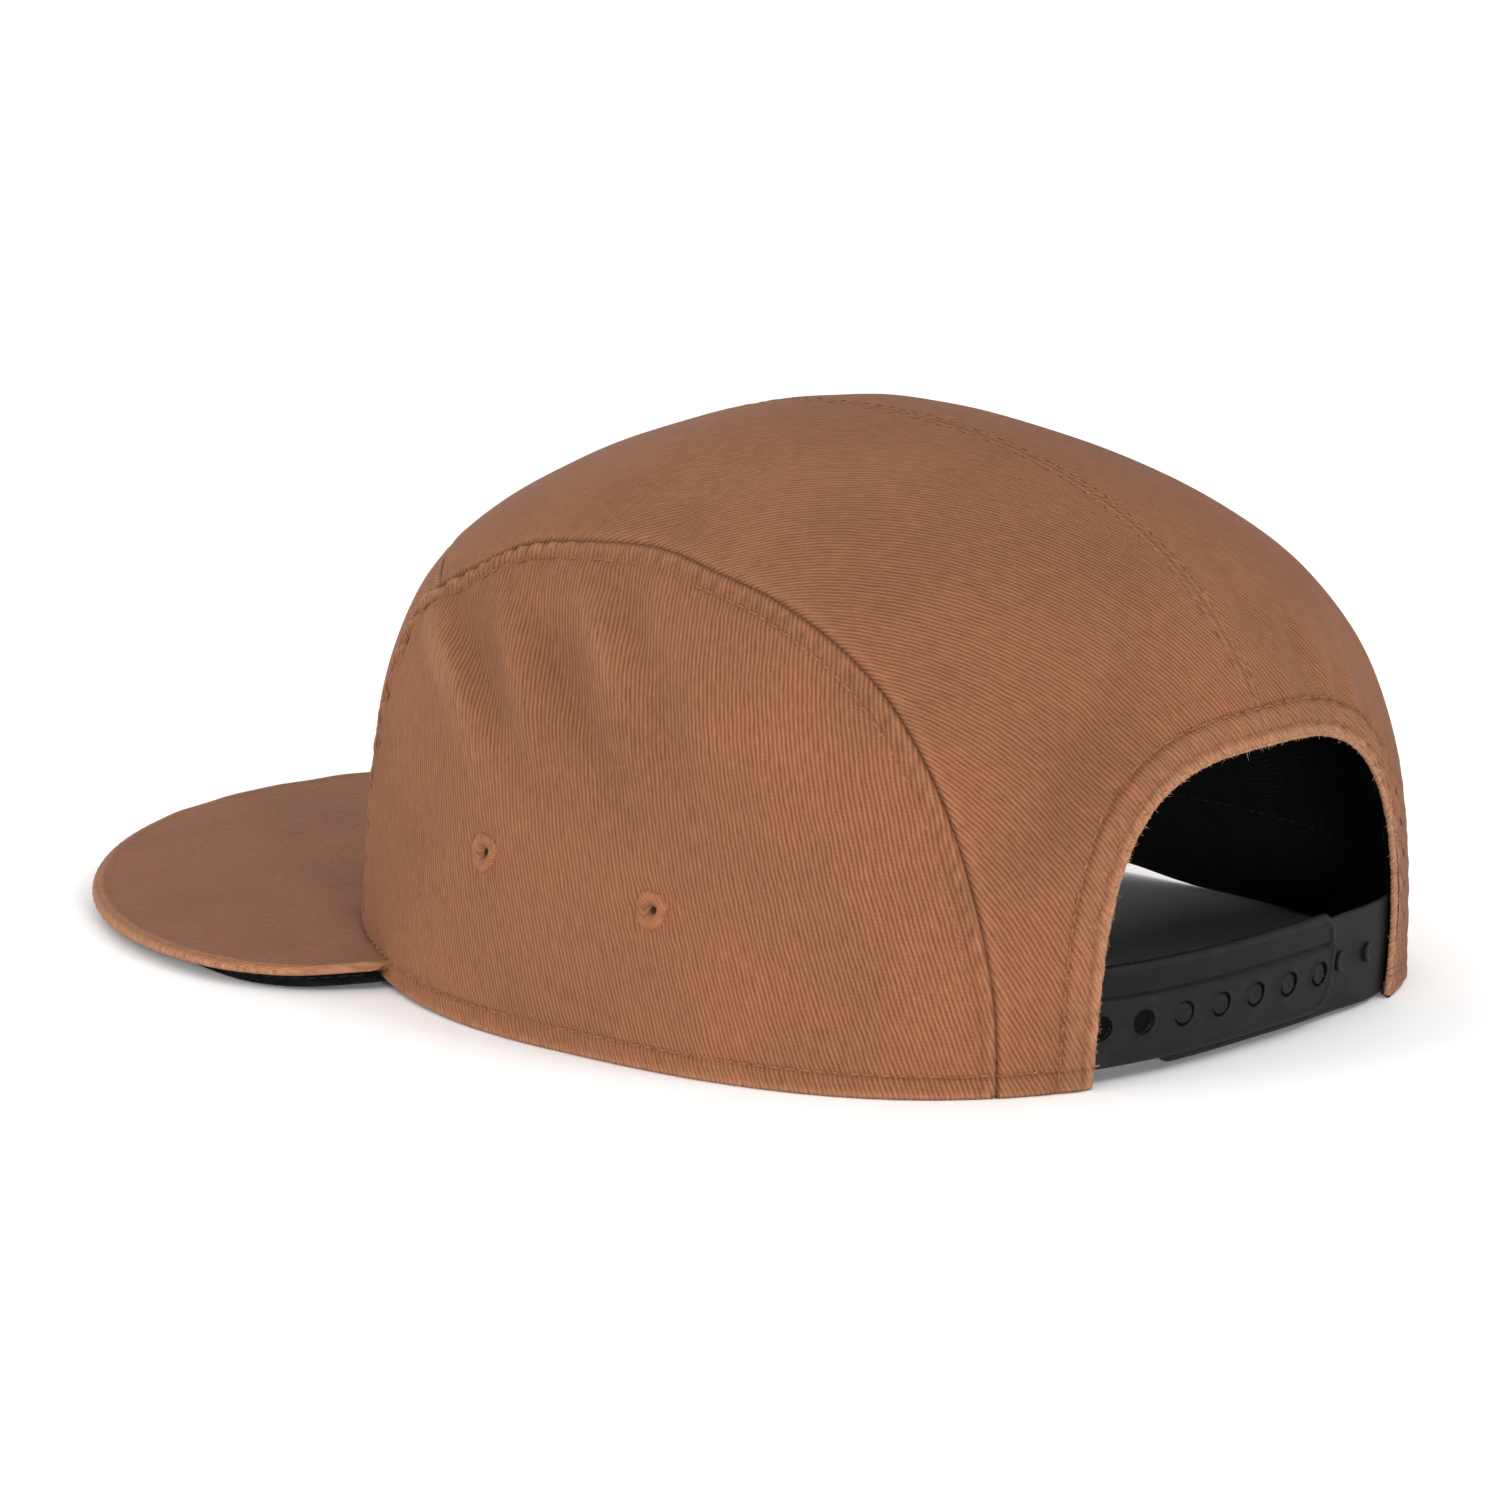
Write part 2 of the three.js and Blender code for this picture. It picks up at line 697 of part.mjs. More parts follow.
// Outer edge of the peak at a share of the way from right to left
function peakEdge(share) {
  const point = peakCurve.getPoint(share);
  const turn = point.x * radians(peakTurn);
  return rimAt(turn).addScaledVector(rimOutward(turn), point.y * peakReach);
}

const peakEdges = Array.from({ length: 201 }, (_, i) => peakEdge(i / 200));
const peakHalfWidth = Math.max(...peakEdges.map((point) => point.x));

// Top of the peak at a place in plan
function peakTop(x, y) {
  const back = peakEdges[0].y;
  const forward = (back - y) / (back + crownHalfLength + peakReach);
  const across = Math.min(1, Math.abs(x) / peakHalfWidth);
  return mix(peakRootHeight, peakTipHeight, forward) + peakArch * (1 - across ** 2);
}

// Inner edge of the peak, which follows the crown, at a share of the way from right to left
function peakRoot(share) {
  const bearing = peakCurve.getPoint(share).x * radians(peakTurn) - Math.PI / 2;
  const level = smoothPoint(Math.cos(bearing), Math.sin(bearing));
  const place = atHeight(bearing, peakTop(level.x, level.y));
  return crownPoint(place, -fitGap - peakInset);
}

// Cross sections of the peak from the crown outward; each point is [distance in from the edge or share of the
// way out, drop below the top]
function peakLoops(section) {
  const stations = 36;
  return Array.from({ length: stations + 1 }, (_, i) => {
    const share = i / stations;
    const root = peakRoot(share).setZ(0);
    const edge = peakEdge(share);
    const width = root.distanceTo(edge);
    return section(Math.min(peakEdgeBand, width * 0.35), width).map(([out, drop]) => {
      const point = root.clone().lerp(edge, out / width);
      return point.setZ(peakTop(point.x, point.y) - drop);
    });
  });
}

const peakCap = (point) => new THREE.Vector2(Math.hypot(point.x, point.y), point.z);

function peakPiece() {
  const round = peakThickness / 2;
  return loft(peakLoops((band, width) => [
    [0, 0],
    [(width - round) * 0.25, 0],
    [(width - round) * 0.5, 0],
    [(width - round) * 0.75, 0],
    [width - round, 0],
    [width - round * 0.3, round * 0.3],
    [width, round],
    [width - round * 0.3, peakThickness - round * 0.3],
    [width - round, peakThickness],
    [width - band, peakThickness],
    [width - band, peakCover],
    [width * 0.5, peakCover],
    [0, peakCover],
  ]), peakCap);
}

function peakUnderside() {
  return loft(peakLoops((band, width) => [
    [0, peakCover + fitGap],
    [width * 0.5, peakCover + fitGap],
    [width - band - fitGap, peakCover + fitGap],
    [width - band - fitGap, peakThickness - peakInset],
    [width * 0.5, peakThickness - peakInset],
    [0, peakThickness - peakInset],
  ]), peakCap);
}

// Embroidered eyelet: a flange on the cloth and a barrel through it
function eyeletProfile() {
  const flange = eyeletDiameter / 2;
  const barrel = eyeletBarrelDiameter / 2;
  const bore = eyeletBore / 2;
  const top = fitGap + eyeletFlange;
  return [[bore, -panelWall], [barrel, -panelWall], [barrel, fitGap], [flange, fitGap],
    [flange, fitGap + eyeletFlange / 2], [flange - eyeletFlange / 2, top], [bore, top], [bore, -panelWall]];
}

function roundOnCrown(place, profile) {
  const outline = profile.map(([radius, height]) => new THREE.Vector2(radius, height));
  return placedRound(new THREE.LatheGeometry(outline, eyeletSides), crownPoint(place), place);
}

function cutEyelets(geometry, places) {
  const radius = eyeletBarrelDiameter / 2 + fitGap;
  const drill = [[0, 2 * panelWall], [radius, 2 * panelWall], [radius, -3 * panelWall], [0, -3 * panelWall]];
  let solid = toSolid(geometry);
  for (const place of places) solid = solid.subtract(toSolid(roundOnCrown(place, drill)));
  return toGeometry(solid);
}

addPiece('front_panel', frontPanel(), colours.twill);

const cutter = archCutter();
for (const side of ['left', 'right']) {
  const place = side === 'left' ? (p) => p : mirrored;
  const backPlaces = backPanelPlaces().map((row) => row.map(place));
  const back = toSolid(shellOf(backPlaces, 0, panelWall)).subtract(cutter);
  addPiece(`back_panel_${side}`, toGeometry(back), colours.twill);

  const sidePlaces = sidePanelPlaces().map((row) => row.map(place));
  const eyeletPlaces = eyelets.map(place);
  const panel = cutEyelets(shellOf(sidePlaces, 0, panelWall), eyeletPlaces);
  addPiece(`side_panel_${side}`, panel, colours.twill);
  eyelets.forEach((eyelet, i) => {
    const ring = roundOnCrown(eyeletPlaces[i], eyeletProfile());
    addPiece(`eyelet_${side}_${eyelet.name}`, ring, colours.thread);
  });
}

addPiece('lining', toGeometry(liningSolid().subtract(cutter)), colours.black);
addPiece('sweatband', sweatband(), colours.sweatband);
addPiece('arch_binding', archBinding(), colours.twill);
addPiece('peak', peakPiece(), colours.peakTwill);
addPiece('peak_underside', peakUnderside(), colours.black);
addPiece('strap_outer', outerStrap(), colours.plastic, 0.55);
addPiece('strap_inner', innerStrap(), colours.plastic, 0.55);

// The cap's origin is the middle of its length, on the surface that it stands on
const bounds = new THREE.Box3().setFromObject(group);
const middle = bounds.getCenter(new THREE.Vector3());
for (const mesh of group.children) mesh.position.set(0, -middle.y, 0);

export default group;
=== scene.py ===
import math

import bpy
import numpy as np
from mathutils import Matrix, Vector


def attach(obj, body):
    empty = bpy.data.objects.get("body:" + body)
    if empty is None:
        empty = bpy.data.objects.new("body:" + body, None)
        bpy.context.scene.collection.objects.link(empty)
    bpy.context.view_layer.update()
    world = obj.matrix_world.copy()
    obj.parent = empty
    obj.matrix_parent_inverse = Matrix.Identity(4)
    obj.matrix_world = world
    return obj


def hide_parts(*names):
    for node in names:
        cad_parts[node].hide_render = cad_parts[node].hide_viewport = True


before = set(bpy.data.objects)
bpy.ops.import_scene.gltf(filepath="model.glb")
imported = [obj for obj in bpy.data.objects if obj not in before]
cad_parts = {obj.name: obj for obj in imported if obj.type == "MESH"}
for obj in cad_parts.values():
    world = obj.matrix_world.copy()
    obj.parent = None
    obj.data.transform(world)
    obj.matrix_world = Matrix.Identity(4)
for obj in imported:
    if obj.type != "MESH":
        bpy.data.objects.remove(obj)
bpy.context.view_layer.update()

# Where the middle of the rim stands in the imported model
rim_middle_y = 33.15

# Crown
half_length = 96.8
half_width = 85.4
height = 105.2
lean = 2.6
rim_lift = 4.6
rim_lift_start = 19
# The rim on the right is raised by this much, between bearings in degrees and below a height
rim_ease = 2
rim_ease_from = 170
rim_ease_to = 212
rim_ease_fade = 15
rim_ease_height = 26
wall = 1.5
seam_stations = 361
plan_power = {"front": 2.03, "back": 2.73, "top": 2.45}
profile_power = {"front": 2, "back": 2.35, "side": 2.1}
profile_swell = {
    "front": [0.06, 0.021, -0.032],
    "back": [0.104, 0.007, -0.005],
    "side": [0.023, 0.001, -0.015],
    "front_quarter": [-0.002, 0.002, 0],
    "back_quarter": [-0.011, 0.007, -0.009],
}
cross_seam_share = 8 / 30

# Opening over the strap
arch_half_width = 42.5
arch_height = 55.5
arch_power = 3.1
arch_radius = 58
arch_count = 361
arch_inner_row = 1.9
hem_roll = 0.8
hem_width = 6
roll_shift = 0.35

# Inner layers
lining_depth = 2.3
lining_thickness = 0.8
lining_foot = 19.5
sweatband_depth = 2.1
sweatband_wall = 1.2
sweatband_low = 1.1
sweatband_high = 21.8
sweatband_row = 19.2

# Peak
peak_reach = 67.3
peak_turn = 58.9
peak_root_height = 4.6
peak_tip_height = 3.1
peak_arch = 3
peak_thickness = 2.8
peak_row_pitch = 7.2
peak_row_places = 3.4 + peak_row_pitch * np.arange(7)
# Share of the peak's turn from its middle to its end, and the share of its reach there
peak_outline = np.array([
    (0, 1), (0.12, 0.989), (0.24, 0.951), (0.36, 0.893), (0.47, 0.825), (0.57, 0.749), (0.66, 0.67),
    (0.74, 0.589), (0.81, 0.512), (0.87, 0.437), (0.92, 0.356), (0.965, 0.259), (1, 0.084),
])

# Strap
strap_height = 19
strap_wall = 1.3
strap_bottom = 2.6
under_strap_drop = 2
strap_tab = 9
strap_corner = 5
outer_strap_end = 20
inner_strap_end = 27
hole_pitch = 9.3
hole_radius = 2.3
hole_from_end = 4.9
hole_height = 10.4
hole_count = 7
pegs_past_end = 2
groove_height = 15.2
# Rings of a peg: radius and height off the band
peg_profile = [
    (1.7, -1.2), (1.72, 0.25), (1.95, 0.4), (1.9, 0.62), (1.55, 0.78), (1.2, 0.72), (0.8, 0.55), (0.01, 0.5),
]

# Cloth
stitch_pitch = 2.9
stitch_length = 2.1
stitch_radius = 0.26
seam_depth = 0.55
seam_row = 4.2
hem_row = 4.4
hem_thread_height = 4.35
centre_thread_row = 1.65
rib_pitch = 0.84
rib_headings = {"side": 21, "front": 130, "back": 28, "peak": 47}
yarn_pitch = 0.78
# Height of a panel's foot above the rim, and its length from there along the cloth
foot_height = 0.75
foot_run = 0.9
# Steps of the turned hem: outward from the rim and up
hem_steps = [(0.08, 0.28), (-0.4, 0), (-0.9, 0.25), (-1.15, 0.9), (-1.2, 3)]
# Rings of a stitch: share of its length from its middle, size, and rise in radii
stitch_profile = [(-0.5, 0.3, -0.9), (-0.36, 0.85, -0.2), (0, 1, 0.1), (0.36, 0.85, -0.2), (0.5, 0.3, -0.9)]
stitch_sides = 6
# Rings of an eyelet: radius and height off the cloth
eyelet_profile = [
    (0.45, -1.7), (0.6, -1.2), (0.95, -0.7), (1.35, -0.2), (1.75, 0.12),
    (2.25, 0.25), (2.8, 0.23), (3.2, 0.08), (3.45, -0.16), (3.6, -0.5),
]

# The crown is a disc drawn up into a dome. Left side seam on the disc, from the front of the rim to its back:
# across, along, and where the line across from each point crosses the middle of the cap.
side_seam = np.array([
    (0.676, -0.737, -1), (0.592, -0.64, -0.86), (0.505, -0.545, -0.73), (0.435, -0.46, -0.62),
    (0.398, -0.375, -0.51), (0.398, -0.28, -0.4), (0.388, -0.2, -0.27), (0.399, -0.1, -0.13),
    (0.403, 0, 0), (0.41, 0.1, 0.12), (0.408, 0.22, 0.27), (0.42, 0.345, 0.42),
    (0.45, 0.445, 0.56), (0.51, 0.592, 0.75), (0.558, 0.692, 0.87), (0.621, 0.784, 1),
])

# Eyelets on the disc: side, across, along
eyelets = [
    ("left_front", 0.788, -0.162), ("left_rear", 0.802, 0.2),
    ("right_front", -0.788, -0.162), ("right_rear", -0.802, 0.2),
]

# Creases and hollows on the disc: across, along, heading in degrees, half length, half width, depth in mm
creases = [
    (0.54, -0.23, 39, 0.13, 0.035, 1.85), (0.575, -0.06, 47, 0.13, 0.045, 1.6),
    (0.505, 0.03, 50, 0.09, 0.03, 0.74), (0.29, 0.562, 10, 0.1, 0.045, 1.05),
    (-0.54, -0.27, 142, 0.13, 0.04, 1.26), (-0.62, 0.05, 175, 0.14, 0.06, 1.16),
    (-0.3, 0.55, 165, 0.1, 0.05, 0.95), (-0.2, 0.28, 125, 0.2, 0.13, 1.05),
]

# Finer folds that only the looks carry, in the same terms; a ridge has a depth below zero
fine_folds = [
    (0.57, -0.2, 41, 0.13, 0.024, 0.8), (0.53, -0.29, 36.4, 0.15, 0.026, -1.7),
    (0.58, -0.14, 33, 0.14, 0.024, -1.3), (0.55, -0.085, 49, 0.12, 0.024, 1.0),
    (0.534, -0.02, 43.7, 0.1, 0.02, -1.1), (0.51, 0.035, 50, 0.08, 0.02, 0.8),
    (0.5, 0.06, 25, 0.07, 0.02, -0.5), (0.66, 0.28, 80, 0.12, 0.05, 0.5),
    (0.74, -0.33, 55, 0.1, 0.03, 0.4), (0.72, 0.08, 80, 0.16, 0.04, 0.4),
    (0.285, 0.57, 8, 0.09, 0.028, 0.7), (0.24, 0.51, 20, 0.08, 0.025, -0.5),
    (0.35, 0.64, 15, 0.08, 0.03, -0.4), (0.13, 0.5, 60, 0.08, 0.02, 0.4),
    (-0.5, -0.1, 150, 0.09, 0.02, 0.7), (-0.6, -0.3, 130, 0.1, 0.025, 0.7),
    (-0.52, -0.22, 140, 0.08, 0.018, -0.5), (-0.38, 0.62, 160, 0.09, 0.025, 0.6),
    (-0.06, 0.47, 100, 0.1, 0.02, 0.5), (-0.14, 0.56, 110, 0.07, 0.018, 0.5),
    (0.1, -0.75, 95, 0.12, 0.04, 0.35), (-0.22, -0.7, 80, 0.12, 0.035, 0.35),
    (0.05, 0.1, 70, 0.2, 0.05, 0.5), (-0.1, -0.1, 40, 0.16, 0.05, 0.5),
    (0.7, -0.08, 58, 0.08, 0.035, 0.9), (0.61, 0.14, 43, 0.11, 0.035, 1.0),
    (0.35, 0.618, 2, 0.11, 0.03, 1.5), (-0.118, 0.565, 65, 0.06, 0.016, 0.5),
    (-0.205, 0.58, 78, 0.06, 0.02, 0.5), (0.65, 0.03, 55, 0.11, 0.03, 0.7), (0.6, -0.12, 43, 0.12, 0.02, 0.5),
]


def super_radius(cos, sin, power):
    return (np.abs(cos) ** power + np.abs(sin) ** power) ** (-1 / power)


def swell_at(terms, climb):
    return sum(share * np.sin((i + 1) * np.pi * climb) for i, share in enumerate(terms))


def mix(a, b, share):
    return a + (b - a) * share


def smooth_share(share):
    """A share from 0 to 1, slow at both ends."""
    return share * share * (3 - 2 * share)


def unit(vectors):
    return vectors / np.linalg.norm(vectors, axis=-1, keepdims=True)


# Multiplying points by this lays them flat
in_plan = (1, 1, 0)


def smooth_points(across, along):
    """Outer face of the crown without folds, for places on the disc."""
    across, along = np.broadcast_arrays(np.asarray(across, float), np.asarray(along, float))
    climb = 1 - np.minimum(np.hypot(across, along), 1)
    bearing = np.arctan2(along, across)
    cos, sin = np.cos(bearing), np.sin(bearing)
    rise = climb * np.pi / 2
    front = sin < 0
    end_power = np.where(front, plan_power["front"], plan_power["back"])
    radius = super_radius(cos, sin, mix(end_power, plan_power["top"], np.sin(rise) ** 2))
    x = half_width * cos * radius
    y = half_length * sin * radius
    end_profile = np.where(front, profile_power["front"], profile_power["back"])
    power = mix(profile_power["side"], end_profile, sin * sin)
    swells = {name: swell_at(terms, climb) for name, terms in profile_swell.items()}
    end_swell = np.where(front, swells["front"], swells["back"])
    quarter = np.where(front, swells["front_quarter"], swells["back_quarter"])
    swell = mix(swells["side"], end_swell, sin * sin) + quarter * (2 * sin * cos) ** 2
    profile = super_radius(np.cos(rise), np.sin(rise), power)
    inward = profile * np.cos(rise) + swell
    rim = rim_lift * (np.maximum(0, -rim_lift_start - y) / (half_length - rim_lift_start)) ** 1.5
    z = mix(rim, height, profile * np.sin(rise))
    return np.stack([x * inward, y * inward - lean * climb**2, z], -1)


def crown_normals(across, along):
    step = 0.004
    pull = np.minimum(1, 0.99 / np.maximum(np.hypot(across, along), step))
    a, b = across * pull, along * pull
    sideways = smooth_points(a + step, b) - smooth_points(a - step, b)
    lengthwise = smooth_points(a, b + step) - smooth_points(a, b - step)
    return unit(np.cross(sideways, lengthwise))


def fold_depth(across, along):
    depth = np.zeros(np.shape(across))
    for cx, cy, heading, length, width, deep in creases + fine_folds:
        cos, sin = math.cos(math.radians(heading)), math.sin(math.radians(heading))
        dx, dy = across - cx, along - cy
        forward, aside = dx * cos + dy * sin, dy * cos - dx * sin
        depth += deep * np.exp(-((forward / length) ** 2) - (aside / width) ** 2)
    return depth


def ripple(u, v, size):
    """Soft unevenness between -1 and 1, the same on every run."""
    total = np.zeros(np.broadcast(u, v).shape)
    for i in range(7):
        turn = 2.4 * i + 0.7
        scale = (1 + 0.23 * i) * 2 * math.pi / size
        total += np.sin(scale * (u * math.cos(turn) + v * math.sin(turn)) + 1.9 * i)
    return total / 4.2


def crown_surface(across, along, lift=0.0):
    """Cloth face of the crown, lifted along its normal by a number of millimetres."""
    points = smooth_points(across, along)
    offset = lift - fold_depth(across, along)
    return points + crown_normals(across, along) * np.asarray(offset)[..., None]


def lengths_along(points, axis):
    """Running length of a line or grid of points along one of its axes."""
    steps = np.linalg.norm(np.diff(points, axis=axis), axis=-1)
    first = np.zeros_like(np.take(steps, [0], axis=axis))
    return np.concatenate([first, np.cumsum(steps, axis=axis)], axis=axis)


def resample(line, count):
    """The same line as count places at even steps of its length."""
    run = lengths_along(line, 0)
    even = np.linspace(0, run[-1], count)
    return np.stack([np.interp(even, run, column) for column in line.T], -1)


def catmull_rom(points, count):
    """Smooth curve through points, as count places at even steps of its length."""
    p = np.concatenate([2 * points[:1] - points[1:2], points, 2 * points[-1:] - points[-2:-1]])
    knots = np.concatenate([[0], np.cumsum(np.linalg.norm(np.diff(p, axis=0), axis=1) ** 0.5)])
    found = []
    for i in range(1, len(p) - 2):
        t = np.linspace(knots[i], knots[i + 1], 40, endpoint=False)[:, None]
        k = knots[i - 1:i + 3]
        a = [((k[j + 1] - t) * p[i - 1 + j] + (t - k[j]) * p[i + j]) / (k[j + 1] - k[j]) for j in range(3)]
        b = [((k[j + 2] - t) * a[j] + (t - k[j]) * a[j + 1]) / (k[j + 2] - k[j]) for j in range(2)]
        found.append(((k[2] - t) * b[0] + (t - k[1]) * b[1]) / (k[2] - k[1]))
    return resample(np.concatenate(found + [points[-1:]]), count)


def place_at(bearing, z):
    """Place on the disc at a bearing and a height."""
    bearing, z = np.broadcast_arrays(np.asarray(bearing, float), np.asarray(z, float))
    low, high = np.zeros(bearing.shape), np.ones(bearing.shape)
    for _ in range(34):
        middle = (low + high) / 2
        tall = smooth_points((1 - middle) * np.cos(bearing), (1 - middle) * np.sin(bearing))[..., 2]
        low, high = np.where(tall < z, middle, low), np.where(tall < z, high, middle)
    reach = 1 - (low + high) / 2
    return reach * np.cos(bearing), reach * np.sin(bearing)


def rim_points(bearing):
    return smooth_points(np.cos(bearing), np.sin(bearing))


def arch_norm(x, z, margin=0.0):
    """1 on the edge of the opening, or a margin outside it, and less inside."""
    a, b = arch_half_width + margin, arch_height + margin
    return ((np.abs(x) / a) ** arch_power + (np.maximum(z, 0) / b) ** arch_power) ** (1 / arch_power)


def arch_distance(x, z):
    """Distance in millimetres out from the edge of the opening."""
    step = 0.05
    here = arch_norm(x, z)
    slope_x = (arch_norm(x + step, z) - here) / step
    slope_z = (arch_norm(x, z + step) - here) / step
    return (here - 1) / np.maximum(np.hypot(slope_x, slope_z), 1e-4)


def move_to(across, along, x, z):
    """Places on the disc shifted until the smooth crown passes through x and z."""
    step = 1e-4
    for _ in range(3):
        p = smooth_points(across, along)
        da = (smooth_points(across + step, along) - p) / step
        db = (smooth_points(across, along + step) - p) / step
        ex, ez = x - p[..., 0], z - p[..., 2]
        det = da[..., 0] * db[..., 2] - db[..., 0] * da[..., 2]
        det = np.where(np.abs(det) < 1e-6, 1e-6, det)
        across = across + (ex * db[..., 2] - ez * db[..., 0]) / det
        along = along + (ez * da[..., 0] - ex * da[..., 2]) / det
    return across, along


# Meshes


def grid_faces(rows, columns):
    i, j = np.meshgrid(np.arange(rows - 1), np.arange(columns - 1), indexing="ij")
    a = (i * columns + j).ravel()
    return np.stack([a, a + 1, a + columns + 1, a + columns], -1)


def ring_faces(loops, sides):
    """Faces that skin loops of equal length, each loop closed on itself."""
    i, k = np.meshgrid(np.arange(loops - 1), np.arange(sides), indexing="ij")
    here, after = (i * sides + k).ravel(), (i * sides + (k + 1) % sides).ravel()
    return np.stack([here, after, after + sides, here + sides], -1)


def repeated(faces, size, count):
    """Faces of count shapes that have size points each."""
    return np.concatenate([faces + i * size for i in range(count)])


def join_shapes(shapes):
    points, faces, first = [], [], 0
    for shape_points, shape_faces in shapes:
        points.append(shape_points)
        faces.append(shape_faces + first)
        first += len(shape_points)
    return np.concatenate(points), np.concatenate(faces)


def even_turns(count):
    return np.arange(count) * 2 * math.pi / count


def circle(centre, side, up, radius, turns):
    """Points round a centre, from the direction side towards up."""
    return centre + np.outer(np.cos(turns) * radius, side) + np.outer(np.sin(turns) * radius, up)


def eased(points):
    """Points raised a little where the rim on the right does not quite reach the surface it stands on."""
    bearing = np.degrees(np.arctan2(points[:, 1], points[:, 0])) % 360
    start = np.clip((bearing - rim_ease_from) / rim_ease_fade, 0, 1)
    end = np.clip((rim_ease_to - bearing) / rim_ease_fade, 0, 1)
    low = np.clip(1 - points[:, 2] / rim_ease_height, 0, 1)
    raised = points.copy()
    raised[:, 2] += rim_ease * smooth_share(start) * smooth_share(end) * low * low
    return raised


def new_object(name, data):
    thing = bpy.data.objects.new(name, data)
    bpy.context.scene.collection.objects.link(thing)
    return thing


def make_piece(name, points, faces, material, outward=None, **attributes):
    """A mesh object from points in millimetres about the middle of the rim."""
    points = np.asarray(points, float).reshape(-1, 3)
    if outward is not None:
        corner = points[faces[:, :3]]
        face_normal = np.cross(corner[:, 1] - corner[:, 0], corner[:, 2] - corner[:, 0])
        if np.sum(face_normal * np.asarray(outward).reshape(-1, 3)[faces[:, 0]]) < 0:
            faces = faces[:, ::-1]
    used = np.unique(faces)
    place = np.full(len(points), -1)
    place[used] = np.arange(len(used))
    moved = (eased(points[used]) + (0, rim_middle_y, 0)) / 1000
    mesh = bpy.data.meshes.new(name)
    mesh.from_pydata(moved.tolist(), [], place[faces].tolist())
    for label, values in attributes.items():
        layer = mesh.attributes.new(label, "FLOAT", "POINT")
        layer.data.foreach_set("value", np.asarray(values, float).ravel()[used].astype(np.float32))
    mesh.shade_smooth()
    mesh.materials.append(material)
    piece = new_object(name, mesh)
    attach(piece, "root")
    return piece


def stitch_shapes(line, normal, radius=stitch_radius):
    """Short rounded threads laid end to end along a line of points."""
    run = lengths_along(line, 0)
    count = max(1, int(run[-1] / stitch_pitch))
    middle = (np.arange(count) + 0.5) * run[-1] / count

    def at(s, values):
        return np.stack([np.interp(s, run, values[:, i]) for i in range(3)], -1)

    start, end = at(middle - stitch_length / 2, line), at(middle + stitch_length / 2, line)
    up = unit(at(middle, normal))
    forward = (end - start) / np.maximum(np.linalg.norm(end - start, axis=1, keepdims=True), 1e-6)
    side = np.cross(up, forward)
    centre = at(middle, line)
    points = []
    for reach, size, rise in stitch_profile:
        for turn in even_turns(stitch_sides):
            out = side * math.cos(turn) * size * radius + up * math.sin(turn) * size * radius * 0.8
            points.append(centre + forward * reach * stitch_length + out + up * (rise * radius))
    faces = ring_faces(len(stitch_profile), stitch_sides)
    return np.stack(points, 1).reshape(-1, 3), repeated(faces, len(points), count)


# Materials. Colours are given as three numbers.


class Nodes:
    """Adds and links the shader nodes of a material or a world."""

    def __init__(self, owner):
        owner.use_nodes = True
        self.owner = owner
        self.tree = owner.node_tree

    def give(self, socket, value):
        if isinstance(value, bpy.types.NodeSocket):
            self.tree.links.new(value, socket)
        else:
            socket.default_value = (*value, 1) if isinstance(value, tuple) else value

    def add(self, kind, inputs, **settings):
        """A node whose inputs come from a dictionary, or the first ones from a tuple."""
        node = self.tree.nodes.new("ShaderNode" + kind)
        for key, value in settings.items():
            setattr(node, key, value)
        for key, value in inputs.items() if isinstance(inputs, dict) else enumerate(inputs):
            self.give(node.inputs[key], value)
        return node

    def math(self, operation, a, b=0.0):
        return self.add("Math", (a, b), operation=operation).outputs[0]

    def times(self, a, b):
        return self.math("MULTIPLY", a, b)

    def plus(self, a, b):
        return self.math("ADD", a, b)

    def attribute(self, name):
        return self.add("Attribute", (), attribute_name=name).outputs["Fac"]

    def coordinates(self, kind="Object"):
        return self.add("TexCoord", ()).outputs[kind]

    def noise(self, vector, scale, detail=2.0, roughness=0.5):
        inputs = {"Vector": vector, "Scale": scale, "Detail": detail, "Roughness": roughness}
        return self.add("TexNoise", inputs).outputs[0]

    def ramp(self, value, low, high):
        """0 at low and below, 1 at high and above."""
        return self.add("MapRange", (value, low, high), clamp=True).outputs[0]

    def blend(self, share, a, b, kind="MIX"):
        """Colour a, turning into b by a share."""
        return self.add("Mix", {0: share, 6: a, 7: b}, data_type="RGBA", blend_type=kind).outputs[2]

    def vector(self, x, y):
        return self.add("CombineXYZ", (x, y)).outputs[0]

    def bump(self, height, distance, strength=1.0, after=None):
        node = self.add("Bump", {"Strength": strength, "Distance": distance, "Height": height})
        if after is not None:
            self.give(node.inputs["Normal"], after)
        return node.outputs[0]

    def finish(self, colour, roughness, normal, **settings):
        """The material, once its shader has these inputs. Underscores stand for the spaces in their names."""
        shader = self.tree.nodes["Principled BSDF"]
        inputs = {"Base Color": colour, "Roughness": roughness, "Normal": normal} | settings
        for key, value in inputs.items():
            self.give(shader.inputs[key.replace("_", " ")], value)
        return self.owner


